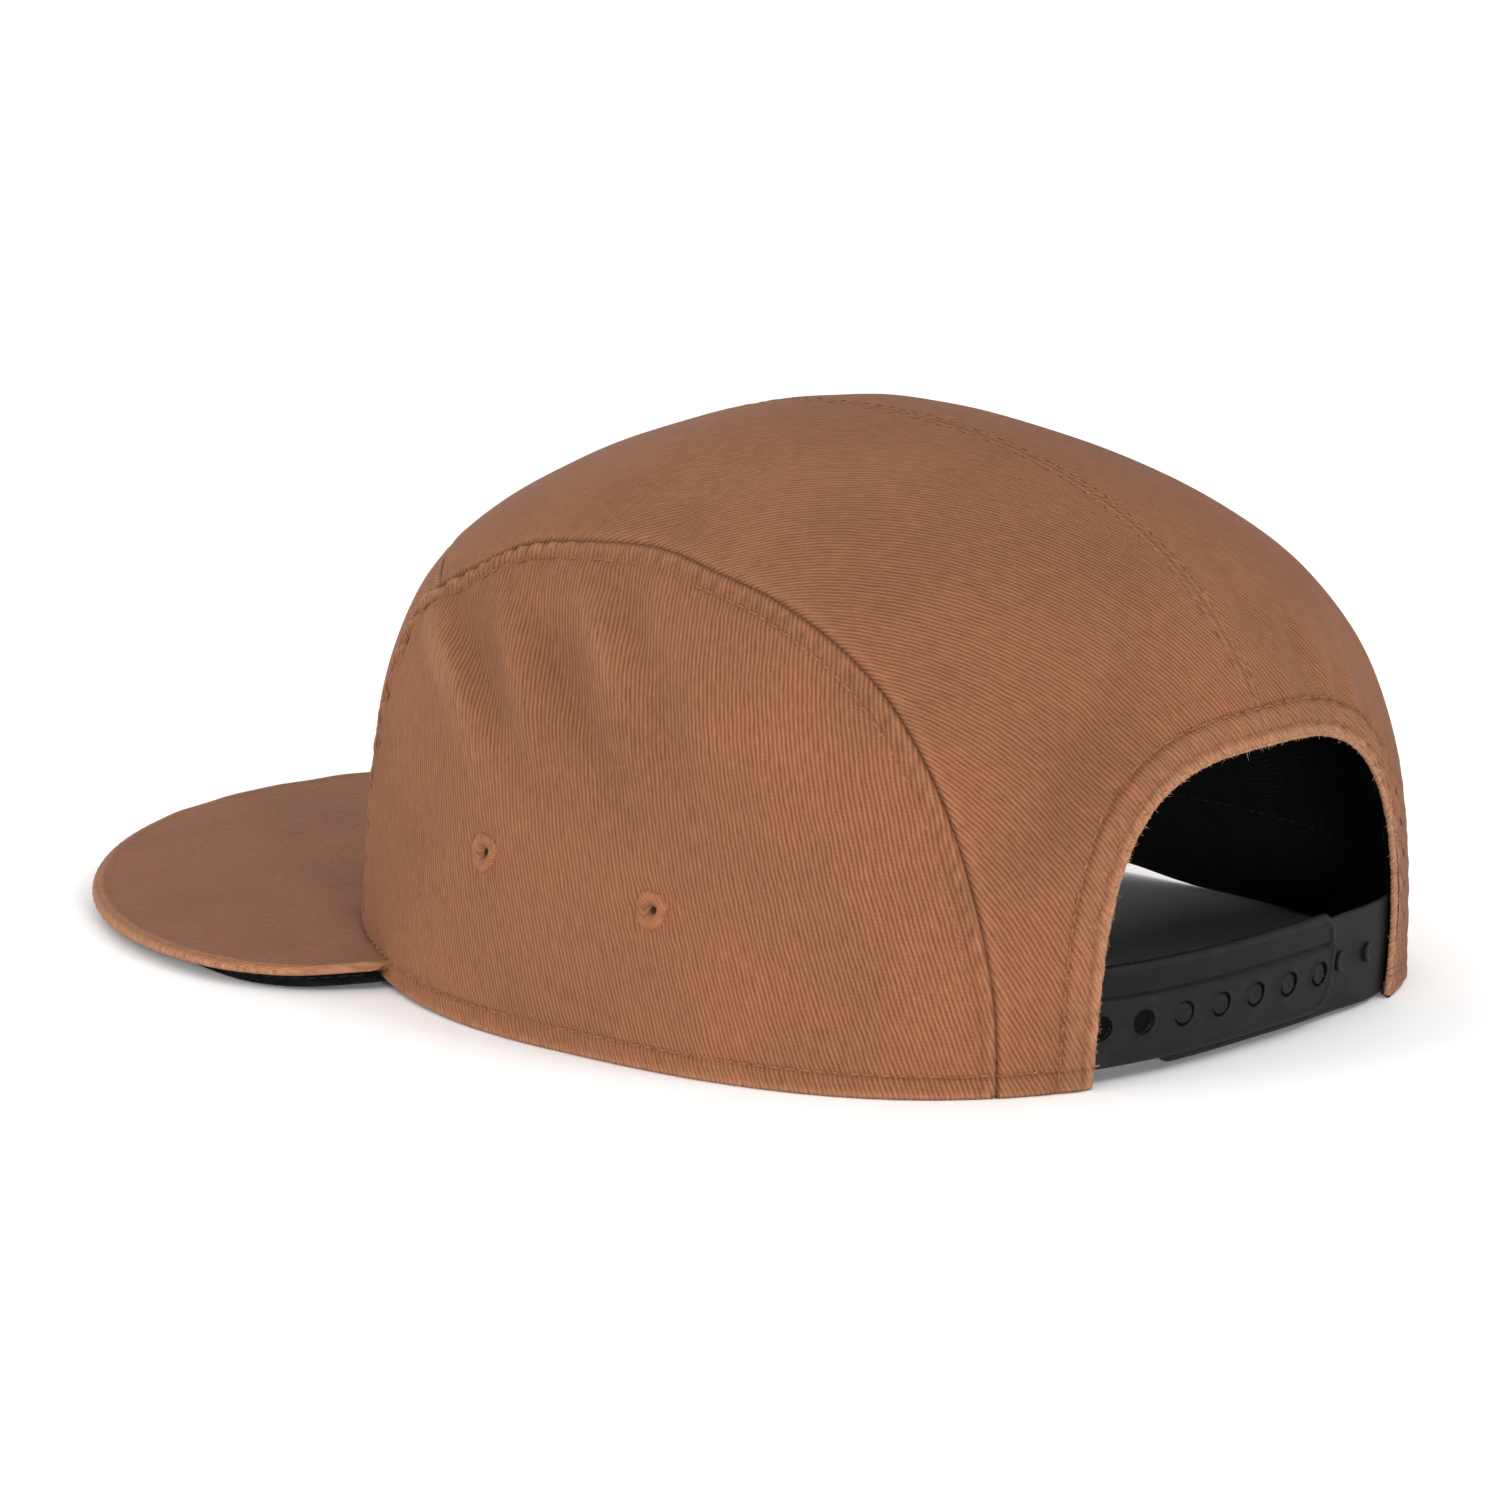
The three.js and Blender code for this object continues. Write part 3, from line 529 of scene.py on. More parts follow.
def twill_material(name, top, valley):
    """Brushed cotton twill. The cloth's attributes rib and run are lengths across and along its ribs."""
    n = Nodes(bpy.data.materials.new(name))
    rib, run = n.attribute("rib"), n.attribute("run")
    cloth = n.vector(rib, run)
    wander = n.noise(cloth, 0.12)
    slub = n.noise(n.vector(n.times(rib, 1.1), n.times(run, 0.32)), 1.0, 3.0, 0.65)
    jitter = n.noise(n.vector(n.times(rib, 1.3), n.times(run, 0.22)), 0.9, 2.0, 0.6)
    shifted = n.plus(n.plus(rib, n.times(wander, 0.8)), n.times(jitter, 0.34))
    angle = n.times(shifted, 2 * math.pi / rib_pitch)
    wave = n.plus(n.times(n.math("SINE", angle), 0.5), 0.5)
    step = n.math("SINE", n.plus(n.times(run, 2 * math.pi / yarn_pitch), n.times(angle, 0.5)))
    float_height = n.plus(n.times(wave, 0.8), n.times(step, 0.05))
    uneven = n.times(n.math("SUBTRACT", slub, 0.5), 0.7)
    # Rib tops are painted lighter and rib valleys darker: partly the yarn's own tone, partly painted shade in
    # the valleys.
    light = n.ramp(n.plus(n.times(float_height, 0.75), n.plus(uneven, 0.12)), 0.0, 1.0)
    colour = n.blend(light, valley, top)
    # Faint patches of another tone, pale fuzz, dark picks, wear with painted highlights on raised folds, and
    # painted shade in seams, stitch rows and hollows
    patch = n.ramp(n.noise(cloth, 0.035, 3.0, 0.55), 0.35, 0.65)
    tint = n.blend(patch, (0.93, 0.93, 0.95), (1.07, 1.06, 1.04))
    colour = n.blend(1.0, colour, tint, "MULTIPLY")
    fuzz = n.noise(cloth, 2.6, 2.0, 0.7)
    colour = n.blend(n.times(n.ramp(fuzz, 0.6, 0.85), 0.3), colour, pale_twill)
    pick = n.ramp(n.noise(cloth, 0.9, 2.0, 0.6), 0.62, 0.8)
    colour = n.blend(n.times(pick, 0.24), colour, valley)
    colour = n.blend(n.times(n.attribute("wear"), n.ramp(slub, 0.2, 0.75)), colour, pale_twill)
    colour = n.blend(n.attribute("gap"), colour, tuple(0.32 * part for part in valley))
    normal = n.bump(n.plus(float_height, n.times(slub, 0.35)), 0.00014)
    return n.finish(
        colour, n.plus(0.82, n.times(slub, 0.14)), n.bump(fuzz, 0.00007, 1.0, normal),
        Sheen_Weight=0.07, Sheen_Roughness=0.5, Sheen_Tint=(0.8, 0.7, 0.64), Specular_IOR_Level=0.1,
    )


def thread_material(name, colour, dark):
    """Twisted thread, darker between its strands as painted shade in the grooves there."""
    n = Nodes(bpy.data.materials.new(name))
    where = n.coordinates()
    inputs = {"Vector": where, "Scale": 900.0, "Distortion": 2.0}
    twist = n.add("TexWave", inputs, bands_direction="DIAGONAL").outputs[1]
    tone = n.noise(where, 350.0)
    shade = n.blend(n.ramp(n.plus(n.times(twist, 0.5), tone), 0.3, 1.0), dark, colour)
    return n.finish(
        shade, n.plus(0.6, n.times(tone, 0.2)), n.bump(twist, 0.00006),
        Sheen_Weight=0.03, Sheen_Roughness=0.5, Specular_IOR_Level=0.12,
    )


def dark_cloth_material(name, base, light, pitch, relief=0.00008):
    """Plain woven lining or tape, with fine crossing threads."""
    n = Nodes(bpy.data.materials.new(name))
    where = n.coordinates()
    parts = n.add("SeparateXYZ", {0: where}).outputs
    yarns = [n.math("SINE", n.times(part, 2 * math.pi / pitch)) for part in parts]
    weave = n.times(n.plus(yarns[0], yarns[1]), yarns[2])
    tone = n.noise(where, 160.0, 3.0, 0.6)
    colour = n.blend(n.ramp(n.plus(n.times(weave, 0.2), tone), 0.3, 0.85), base, light)
    return n.finish(
        colour, n.plus(0.78, n.times(tone, 0.18)), n.bump(n.plus(weave, tone), relief),
        Sheen_Weight=0.02, Sheen_Roughness=0.4, Specular_IOR_Level=0.08,
    )


def plastic_material(name, base, worn):
    """Moulded soft plastic: fine grain, faint scuffs and uneven gloss."""
    n = Nodes(bpy.data.materials.new(name))
    where = n.coordinates()
    grain = n.noise(where, 2600.0, 2.0, 0.6)
    scuff = n.noise(where, 240.0, 4.0, 0.7)
    cloudy = n.noise(where, 45.0)
    colour = n.blend(n.ramp(n.plus(scuff, n.times(cloudy, 0.3)), 0.62, 0.85), base, worn)
    # Grooves, edges and holes are painted darker: painted shade.
    colour = n.blend(n.attribute("gap"), colour, (0.0015, 0.0015, 0.0015))
    normal = n.bump(cloudy, 0.0004, 0.5, n.bump(grain, 0.00002, 0.6))
    rough = n.plus(0.42, n.times(n.plus(scuff, cloudy), 0.14))
    return n.finish(colour, rough, normal, Specular_IOR_Level=0.13)


# Pale colour of fuzz and wear, also laid on raised folds as painted highlight
pale_twill = (0.44, 0.225, 0.127)
twill = twill_material("Twill", (0.296, 0.1205, 0.0565), (0.114, 0.0405, 0.0182))
peak_twill = twill_material("Peak_twill", (0.264, 0.1085, 0.0495), (0.145, 0.054, 0.0245))
thread = thread_material("Thread", (0.27, 0.108, 0.05), (0.13, 0.047, 0.022))
fibre = thread_material("Fibre", (0.52, 0.3, 0.19), (0.38, 0.2, 0.12))
dark_thread = thread_material("Dark_thread", (0.009, 0.009, 0.0095), (0.004, 0.004, 0.004))
eyelet_shade = thread_material("Eyelet_shade", (0.03, 0.013, 0.008), (0.015, 0.007, 0.004))
lining_cloth = dark_cloth_material("Lining_cloth", (0.003, 0.003, 0.003), (0.0055, 0.0055, 0.006), 0.0007)
band_cloth = dark_cloth_material("Band_cloth", (0.0035, 0.0035, 0.0035), (0.0065, 0.0065, 0.0065), 0.0011)
under_twill = dark_cloth_material("Under_twill", (0.01, 0.01, 0.011), (0.028, 0.028, 0.03), 0.0009, 0.00015)
plastic = plastic_material("Strap_plastic", (0.0088, 0.0084, 0.0082), (0.014, 0.0136, 0.0134))

# Relief of the cloth. Heights and distances are in millimetres.

# Distances from a seam and heights there: cloth folded under and stitched down, and cloth that dips into it
seam_ridge = [0, 0.5, 1.2, 2.2, 3.3, 4.3, 5.5, 8], [-seam_depth, -0.2, 0.25, 0.42, 0.36, 0.03, 0.03, 0]
seam_dip = [0, 0.35, 0.9, 2.4, 4.5], [-seam_depth, -0.16, 0, 0.07, 0]


def window(value, low, high, soft):
    """1 between low and high, fading to 0 over a soft margin."""
    up = np.clip((value - low) / soft + 0.5, 0, 1)
    down = np.clip((high - value) / soft + 0.5, 0, 1)
    return smooth_share(up) * smooth_share(down)


def groove(distance, width):
    return np.exp(-((distance / width) ** 2))


def stitched(run):
    """Deeper at the needle holes between stitches."""
    return 0.75 + 0.25 * np.cos(2 * math.pi * run / stitch_pitch)


def waves(run, period, *wanders):
    """Waves between -1 and 1 whose period wanders by a number of turns over a length."""
    phase = run / period
    for turns, length in wanders:
        phase = phase + turns * np.sin(run / length)
    return np.sin(2 * math.pi * phase)


def seam_side_lift(d, s, puckers, fullness):
    """Height of cloth beside a seam whose allowance is folded under it and stitched down."""
    ridge = np.interp(d, *seam_ridge) * fullness - 0.3 * groove(d, 0.45) * (1 - fullness)
    row = -(0.2 + 0.2 * fullness) * groove(d - seam_row, 0.55) * stitched(s)
    inner = waves(s, 5.4, (0.7, 17), (0.35, 7.3)) * window(d, 0.6, 4.0, 1.6)
    outer = 0.55 * waves(s, 8.1, (0.6, 23)) * groove(d - 6.5, 2.6)
    return ridge + row + puckers * (inner + outer)


def plain_seam_lift(d, s, puckers, row=None, depth=1.0):
    """Height of cloth that dips into a seam, with a row of stitches beside it where a distance is given."""
    edge = np.interp(d, *seam_dip) * depth
    lift = edge + puckers * waves(s, 5.3, (0.5, 13)) * window(d, 0.8, 3.4, 1.6)
    return lift if row is None else lift - 0.28 * groove(d - row, 0.5) * stitched(s)


def hem_lift(up, run):
    """Height of cloth beside the turned and stitched bottom edge."""
    band = 0.24 * window(up, -2, 3.9, 1.4)
    row = -0.42 * groove(up - hem_row, 0.5) * stitched(run)
    return band + row + 0.16 * waves(run, 7.2, (0.6, 19)) * window(up, 0.5, 4.2, 1.8)


def arch_lift(out, turn_run, loose):
    """Height of cloth beside the hem of the opening, which puckers most at its top."""
    band = 0.25 * window(out, -4, hem_width - 0.6, 1.2)
    outer_row = -0.36 * groove(out - hem_width, 0.45) * stitched(turn_run)
    inner_row = -0.3 * groove(out - arch_inner_row, 0.45) * stitched(turn_run)
    top_share = window(np.abs(turn_run - arch_radius * np.pi / 2), -20, 46, 16)
    radial = (0.14 + 0.16 * top_share) * waves(turn_run, 5.1, (0.6, 15)) * window(out, 0.6, 6.2, 2.0)
    beyond = (0.1 + 0.22 * top_share) * waves(turn_run, 7.7, (0.5, 11)) * groove(out - 9.5, 3)
    return band + outer_row + inner_row + (radial + beyond) * loose


# Cloth panels of the crown

seam_line = catmull_rom(side_seam, seam_stations)
seam_length = lengths_along(smooth_points(seam_line[:, 0], seam_line[:, 1]), 0)[-1]
rim_bearings = np.linspace(-math.pi, math.pi, 2001)
rim_run = lengths_along(rim_points(rim_bearings), 0)


def rim_run_at(across, along):
    return np.interp(np.arctan2(along, across), rim_bearings, rim_run)


def ribs(u, v, heading):
    """Lengths across and along ribs that run at a heading in degrees over a chart of the cloth."""
    cos, sin = math.cos(math.radians(heading)), math.sin(math.radians(heading))
    return u * cos + v * sin, v * cos - u * sin


def panel(name, across, along, lift, chart, rib_heading, wear, gap, foot, node, keep=None):
    """A cloth panel on a grid of places, whose foot is its first column or its last row."""
    # Folds that stand out are painted lighter and hollows darker: painted highlight and painted shade on the
    # folds
    folds = fold_depth(across, along)
    wear = wear + 0.22 * np.clip(-folds, 0, 1.2)
    gap = gap + 0.07 * np.clip(folds, 0, 2.2)
    layers = [crown_surface(across, along, lift), crown_normals(across, along)]
    layers += [values[..., None] for values in (*ribs(*chart, rib_heading), wear, gap)]
    points, outward, rib, run, wear, gap = turned_hem(layers, across, along, foot)
    rows, columns = points.shape[:2]
    faces = grid_faces(rows, columns)
    if keep is not None:
        keep = np.pad(keep, ((0, rows - len(keep)), (0, 0)), "edge")
        faces = faces[keep.ravel()[faces].all(axis=1)]
    piece = make_piece(name, points, faces, twill, outward, rib=rib, run=run, wear=wear, gap=gap)
    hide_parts(node)


def turned_hem(layers, across, along, foot):
    """Adds the cloth that turns under the rim and up inside it to each layer of a panel."""
    edge = (slice(None), 0) if foot == "column" else (-1,)
    bearing = np.arctan2(along[edge], across[edge])
    rim = rim_points(bearing)
    out = unit(crown_normals(np.cos(bearing), np.sin(bearing)) * in_plan)
    rib, run, wear, gap = (layer[edge] for layer in layers[2:])
    steps = []
    for i, (outward, up) in enumerate(hem_steps):
        place = rim + out * outward + np.array([0, 0, up])
        steps.append((place, out, rib, run - 0.8 * (i + 1), wear * 0.6, gap))
    found = []
    for layer, extra in zip(layers, zip(*steps)):
        if foot == "column":
            found.append(np.concatenate([np.stack(extra[::-1], 1), layer], 1))
        else:
            found.append(np.concatenate([layer, np.stack(extra)], 0))
    return found


def contour_chart(across, along):
    """Lengths along level lines of the crown from its left side, and up its wall from the rim."""
    turn, top, columns, rows = 1.35, 0.8, 90, 60
    bearings = np.linspace(-turn, turn, columns + 1)
    reach = 1 - np.linspace(0, top, rows + 1)
    grid = smooth_points(np.outer(reach, np.cos(bearings)), np.outer(reach, np.sin(bearings)))
    level = lengths_along(grid, 1)
    level -= level[:, columns // 2, None]
    rise = lengths_along(grid, 0)
    i = np.clip((1 - np.hypot(across, along)) / top * rows, 0, rows - 0.001)
    j = np.clip((np.arctan2(along, across) + turn) / (2 * turn) * columns, 0, columns - 0.001)
    i0, j0 = i.astype(int), j.astype(int)
    fi, fj = i - i0, j - j0

    def look(table):
        low = mix(table[i0, j0], table[i0, j0 + 1], fj)
        return mix(low, mix(table[i0 + 1, j0], table[i0 + 1, j0 + 1], fj), fi)

    return look(level), look(rise)


def seam_at(shares):
    """Rows of the left side seam's line at shares of its length."""
    index = shares * (seam_stations - 1)
    return np.stack([np.interp(index, np.arange(seam_stations), column) for column in seam_line.T], -1)


def side_panel(side):
    """A side panel, from its foot up to the side seam. The right one is drawn on the left and mirrored."""
    sign = 1 if side == "left" else -1
    rows, stations, margin = 104, 341, 0.0016
    shares = np.linspace(margin, 1 - margin, stations)
    seam = seam_at(shares)[:, :2]
    first, last = (math.atan2(end[1], end[0]) for end in (side_seam[0], side_seam[-1]))
    bearing = mix(first, last, mix(shares, 0.5, 0.004))
    foot = np.stack(place_at(bearing, rim_points(bearing)[:, 2] + foot_height), -1)
    place = mix(foot[:, None], seam[:, None], np.linspace(0, 1, rows)[None, :, None])
    across, along = place[..., 0], place[..., 1]
    base = smooth_points(across, along)
    up = lengths_along(base, 1)
    down = up[:, -1:] - up
    up = up + foot_run
    s = (shares * seam_length)[:, None] + 0 * up
    full = window(s / seam_length, 0.14, 0.42, 0.16)
    puckers = 0.19 + 0.42 * full
    if side == "right":
        s = s + 37
        puckers = puckers * 0.8
    lift = seam_side_lift(down, s, puckers, 0.03 + 0.82 * full)
    lift += hem_lift(up, rim_run_at(across, along)) * np.clip(down / 2.5, 0, 1)
    # Short pinched creases across the row of stitches, along the back half of the seam
    pinch = (0.5 + 0.5 * waves(s, 4.3, (0.5, 9))) ** 2
    pinch = pinch * groove(down - 2.4, 1.3) * window(shares, 0.47, 0.93, 0.1)[:, None]
    lift -= 0.34 * pinch
    for label, ex, ey in eyelets:
        if label.startswith("left"):
            offset = base - smooth_points(ex, ey)
            r = np.linalg.norm(offset, axis=-1)
            lift -= 1.7 * groove(r, 1.7) + 0.34 * groove(r - 4.0, 0.8)
            lift += 0.12 * np.sin(7 * np.arctan2(offset[..., 2], offset[..., 1])) * window(r, 3.5, 8, 2.5)
    lift += 0.14 * ripple(base[..., 1], base[..., 2] + 40 * (side == "right"), 42)
    wear = (0.14 + 0.36 * full) * groove(down - 1.6, 1.0) + 0.55 * groove(up - 0.5, 1.0)
    # The seam line, the rows of stitches and the pinched creases are painted darker: painted shade in them.
    gap = 0.55 * groove(down, 0.35) + 0.22 * groove(down - seam_row, 0.35) + 0.25 * groove(up - hem_row, 0.4)
    chart_u, chart_v = contour_chart(across, along)
    panel(
        f"side_panel_cloth_{side}", across * sign, along, lift, (chart_u * sign, chart_v),
        rib_headings["side"], wear, np.minimum(gap + 0.3 * pinch, 1), "column", f"side_panel_{side}",
    )


def strip_places(shares, sideways):
    """Places in the strip between the side seams: 0 sideways is the middle of the cap and 1 the left seam."""
    ex, ey, middle = (column[:, None] for column in seam_at(shares).T)
    arc = np.maximum(0.05, np.arctan2(ex, np.abs(ey)) * middle**2)
    bend = (1 - np.cos(arc * sideways)) / (1 - np.cos(arc))
    across = ex * np.sin(arc * sideways) / np.sin(arc)
    return across, mix(middle, ey, bend)


def foot_share(end):
    """Share of the seam at which the strip is at its foot, near its front or back end."""
    shares = np.linspace(0, 0.03, 400) if end == "front" else np.linspace(1, 0.97, 400)
    across, along = strip_places(shares, np.array([[0.5]]))
    points = smooth_points(across, along)[:, 0]
    rim = rim_points(np.arctan2(along[:, 0], across[:, 0]))
    return shares[np.argmax(points[:, 2] - rim[:, 2] > foot_height)]


def strip_chart(base):
    """Lengths across each row from the middle of the cap, and along the middle of the cap."""
    u = lengths_along(base, 1)
    return u, lengths_along(base[:, :1], 0) + 0 * u


def front_panel():
    """The panel over the peak, drawn on the left and mirrored to its other half."""
    rows, columns = 84, 61
    shares = np.linspace(cross_seam_share, foot_share("front"), rows)
    across, along = strip_places(shares, np.linspace(0, 1, columns)[None, :])
    u, v = strip_chart(smooth_points(across, along))

    def both(values, sign=1):
        return np.concatenate([sign * values[:, :0:-1], values], 1)

    full_across, full_along = both(across, -1), both(along)
    down, from_cross = both(u[:, -1:] - u), both(v)
    up = both(v[-1:] - v) + foot_run
    s = both((shares * seam_length)[:, None] + 0 * u)
    lift = plain_seam_lift(down, s, 0.1) + plain_seam_lift(from_cross, full_across * 60, 0.06, 1.8, 0.5)
    fade = np.clip(np.minimum(down, from_cross) / 2.5, 0, 1)
    lift += hem_lift(up, rim_run_at(full_across, full_along)) * fade
    lift += 0.12 * ripple(full_across * 60, from_cross, 38)
    wear = 0.3 * groove(down - 1.5, 0.9) + 0.3 * groove(from_cross - 1.4, 0.9) + 0.5 * groove(up - 0.5, 1)
    # The seam lines and the row of stitches above the hem are painted darker: painted shade in them.
    gap = 0.55 * groove(down, 0.35) + 0.3 * groove(from_cross, 0.4) + 0.25 * groove(up - hem_row, 0.4)
    panel(
        "front_panel_cloth", full_across, full_along, lift, (both(u, -1), -both(v)),
        rib_headings["front"], wear, np.minimum(gap, 1), "row", "front_panel",
    )


def back_panel(side):
    """A back panel, from the cross seam over the top to its foot. The right one is mirrored."""
    sign = 1 if side == "left" else -1
    rows, columns = 331, 78
    shares = np.linspace(cross_seam_share, foot_share("back"), rows)
    across, along = strip_places(shares, np.linspace(0, 1, columns)[None, :])
    base = smooth_points(across, along)
    x, z = base[..., 0], base[..., 2]
    u, v = strip_chart(base)
    # Places just inside the opening move out to its edge, and the rest inside are dropped
    at_back = along > 0
    norm = arch_norm(x, z)
    outside = ~(at_back & (norm < 1))
    padded = np.pad(outside, 1)
    touching = np.zeros((rows, columns), bool)
    for i in range(3):
        for j in range(3):
            touching |= padded[i:i + rows, j:j + columns]
    snap = ~outside & touching
    scale = 1 / np.maximum(norm[snap], 1e-3)
    across[snap], along[snap] = move_to(across[snap], along[snap], x[snap] * scale, z[snap] * scale)
    base = smooth_points(across, along)
    x, z = base[..., 0], base[..., 2]
    down = u[:, -1:] - u
    up = v[-1:] - v + foot_run
    s = (shares * seam_length)[:, None] + 0 * u
    out = np.where(at_back, arch_distance(x, z), 99)
    turn_run = arch_radius * np.arctan2(z, x)
    centre_row = 1.7 if side == "left" else 1.6
    other_side = side == "right"
    near_arch = np.clip(out / 6, 0.3, 1)
    lift = plain_seam_lift(down, s, 0.1)
    lift = lift + plain_seam_lift(u, v + 9 * sign, 0.07, centre_row, 0.5) * near_arch
    lift += plain_seam_lift(v, across * 60 + 5, 0.05, None, 0.5)
    fade = np.clip(np.minimum(down, np.maximum(out, 0)) / 2.5, 0, 1)
    lift += hem_lift(up, rim_run_at(across * sign, along)) * fade
    lift += arch_lift(out, turn_run + 20 * other_side, np.clip(u / 3, 0, 1))
    lift += 0.14 * ripple(u + 90 * other_side, v, 46) * np.clip(u / 6, 0, 1)
    wear = 0.12 * groove(down - 1.5, 0.9) + 0.3 * groove(u - 1.3, 0.8) + 0.6 * groove(out - 0.3, 1.1)
    wear = wear + 0.16 * window(out, -4, hem_width - 0.8, 1.5) + 0.4 * groove(up - 0.5, 1)
    # The seams and the rows of stitches beside them, round the opening and above the hem are painted darker:
    # painted shade in them.
    gap = 0.55 * groove(down, 0.35) + 0.3 * groove(u, 0.4) * np.clip(out / hem_width - 0.4, 0.15, 1)
    gap += 0.3 * groove(v, 0.4) + 0.2 * groove(u - centre_row, 0.35) + 0.42 * groove(out - hem_width, 0.34)
    gap += 0.25 * groove(out - arch_inner_row, 0.4) + 0.3 * groove(up - hem_row, 0.4)
    # On the right the cloth runs the same way round as on the left, seen from outside
    panel(
        f"back_panel_cloth_{side}", across * sign, along, lift, (-u * sign, -v),
        rib_headings["back"], wear, np.minimum(gap, 1), "row", f"back_panel_{side}", outside | snap,
    )


for side in ("left", "right"):
    side_panel(side)
    back_panel(side)
front_panel()

# Rolled edge of the opening


def arch_line(margin, count, low=0.6):
    """Line round the opening from the right foot to the left, as places on the disc."""
    a, b = arch_half_width + margin, arch_height + margin
    start = math.asin((low / b) ** (arch_power / 2))
    turn = np.linspace(start, math.pi - start, count * 3)
    x = -np.sign(np.cos(turn)) * a * np.abs(np.cos(turn)) ** (2 / arch_power)
    z = b * np.sin(turn) ** (2 / arch_power)
    x, z = resample(np.stack([x, z], -1), count).T
    return move_to(*place_at(np.pi / 2 - x / 90, z), x, z)


def opening_frame():
    """Middle line of the rolled edge, with its directions away from the opening, off the cloth and onward."""
    across, along = arch_line(0, arch_count)
    centre = crown_surface(across, along, -0.55)
    normal = crown_normals(across, along)
    forward = unit(np.gradient(centre, axis=0))
    outward = np.cross(forward, normal)
    outward *= np.sign(np.sum(outward * (centre - centre.mean(axis=0))))
    return centre, outward, normal, forward


def rolled_edge():
    centre, outward, normal, _ = opening_frame()
    run = lengths_along(centre, 0)
    turns = even_turns(18)
    size = hem_roll * (1 + (0.05 * waves(run, 3.1, (0.5, 9)) + 0.07 * ripple(run, 0 * run, 11)))
    loops, radial = [], []
    for turn in turns:
        cos, sin = math.cos(turn), math.sin(turn)
        reach, rise = cos * size + roll_shift, sin * size * 0.92
        loops.append(centre + outward * reach[:, None] + normal * rise[:, None])
        radial.append(outward * cos + normal * sin)
    around, length = np.meshgrid(turns * hem_roll, run)
    edge = 0.55 + 0.45 * np.cos(turns + math.pi) + 0 * length
    piece = make_piece(
        "opening_roll", np.stack(loops, 1), ring_faces(arch_count, len(turns)), twill, np.stack(radial, 1),
        rib=length * 0.9 + around * 0.6, run=around - length * 0.3,
        wear=np.minimum(edge * 1.3, 1), gap=0 * edge,
    )
    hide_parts("arch_binding")


def loose_fibres():
    """Short loose fibres where the edge of the opening has worn."""
    random = np.random.default_rng(7)
    count = 1100
    centre, outward, normal, forward = opening_frame()
    at = random.integers(4, arch_count - 4, count)
    turn = random.uniform(0.35, 1.15, count) * math.pi
    radial = outward[at] * np.cos(turn)[:, None] + normal[at] * np.sin(turn)[:, None]
    root = centre[at] + outward[at] * roll_shift + forward[at] * random.uniform(-0.4, 0.4, count)[:, None]
    root = root + radial * (hem_roll * 0.93)
    length = random.uniform(0.25, 0.85, count)[:, None]
    lean_over = forward[at] * random.normal(0, 0.8, count)[:, None]
    aim = radial * 0.4 + lean_over + random.normal(0, 0.25, (count, 3))
    bend = random.normal(0, 0.35, (count, 3))
    side = np.cross(radial, forward[at])
    points = []
    for share, thick in ((0, 0.05), (0.5, 0.042), (1, 0.018)):
        middle = root + (aim * share + bend * share * share) * length
        for turned in even_turns(3):
            points.append(middle + (side * math.cos(turned) + forward[at] * math.sin(turned)) * thick)
    faces = repeated(ring_faces(3, 3), len(points), count)
    piece = make_piece("opening_fibres", np.stack(points, 1), faces, fibre)


rolled_edge()
loose_fibres()

# Sewing threads of the crown


def surface_row(across, along, lift, radius):
    return stitch_shapes(crown_surface(across, along, lift), crown_normals(across, along), radius)


def shifted_seam(shift, first, last):
    """The left side seam moved towards the side panel by a number of millimetres."""
    line = seam_line[int(first * seam_stations):int(last * seam_stations), :2]
    tangent = unit(np.gradient(line, axis=0))
    sideways = np.stack([tangent[:, 1], -tangent[:, 0]], -1)
    step = 0.01
    moved = smooth_points(*(line + sideways * step).T) - smooth_points(*line.T)
    place = line + sideways * (shift * step / np.linalg.norm(moved, axis=1))[:, None]
    return place[:, 0], place[:, 1]


def crown_threads():
    """Rows beside the side seams and the centre seam, round the opening and along the bottom edge."""
    seam_across, seam_along = shifted_seam(seam_row, 0.012, 0.985)
    shares, sideways = np.linspace(cross_seam_share + 0.012, 1, 400), np.linspace(0, 1, 60)
    run = lengths_along(smooth_points(*strip_places(shares, sideways[None, :])), 1)
    at = np.array([np.interp(centre_thread_row, row, sideways) for row in run])
    a, b = (values[:, 0] for values in strip_places(shares, at[:, None]))
    keep = (b < 0) | (smooth_points(a, b)[:, 2] > arch_height + hem_width + 1)
    shapes = []
    for sign in (1, -1):
        shapes.append(surface_row(seam_across * sign, seam_along, -0.08, 0.22))
        shapes.append(surface_row(a[keep] * sign, b[keep], -0.06, 0.19))
    for margin in (hem_width, arch_inner_row):
        shapes.append(surface_row(*arch_line(margin, 300, 1.5), 0.0, 0.22))
    back_gap = math.atan2(arch_half_width + hem_width, half_length)
    bearing = np.linspace(math.pi / 2 + back_gap, 2.5 * math.pi - back_gap, 700)
    shapes.append(surface_row(*place_at(bearing, rim_points(bearing)[:, 2] + hem_thread_height), -0.04, 0.23))
    piece = make_piece("crown_stitching", *join_shapes(shapes), thread)


crown_threads()

# Eyelets: satin stitches round a small hole


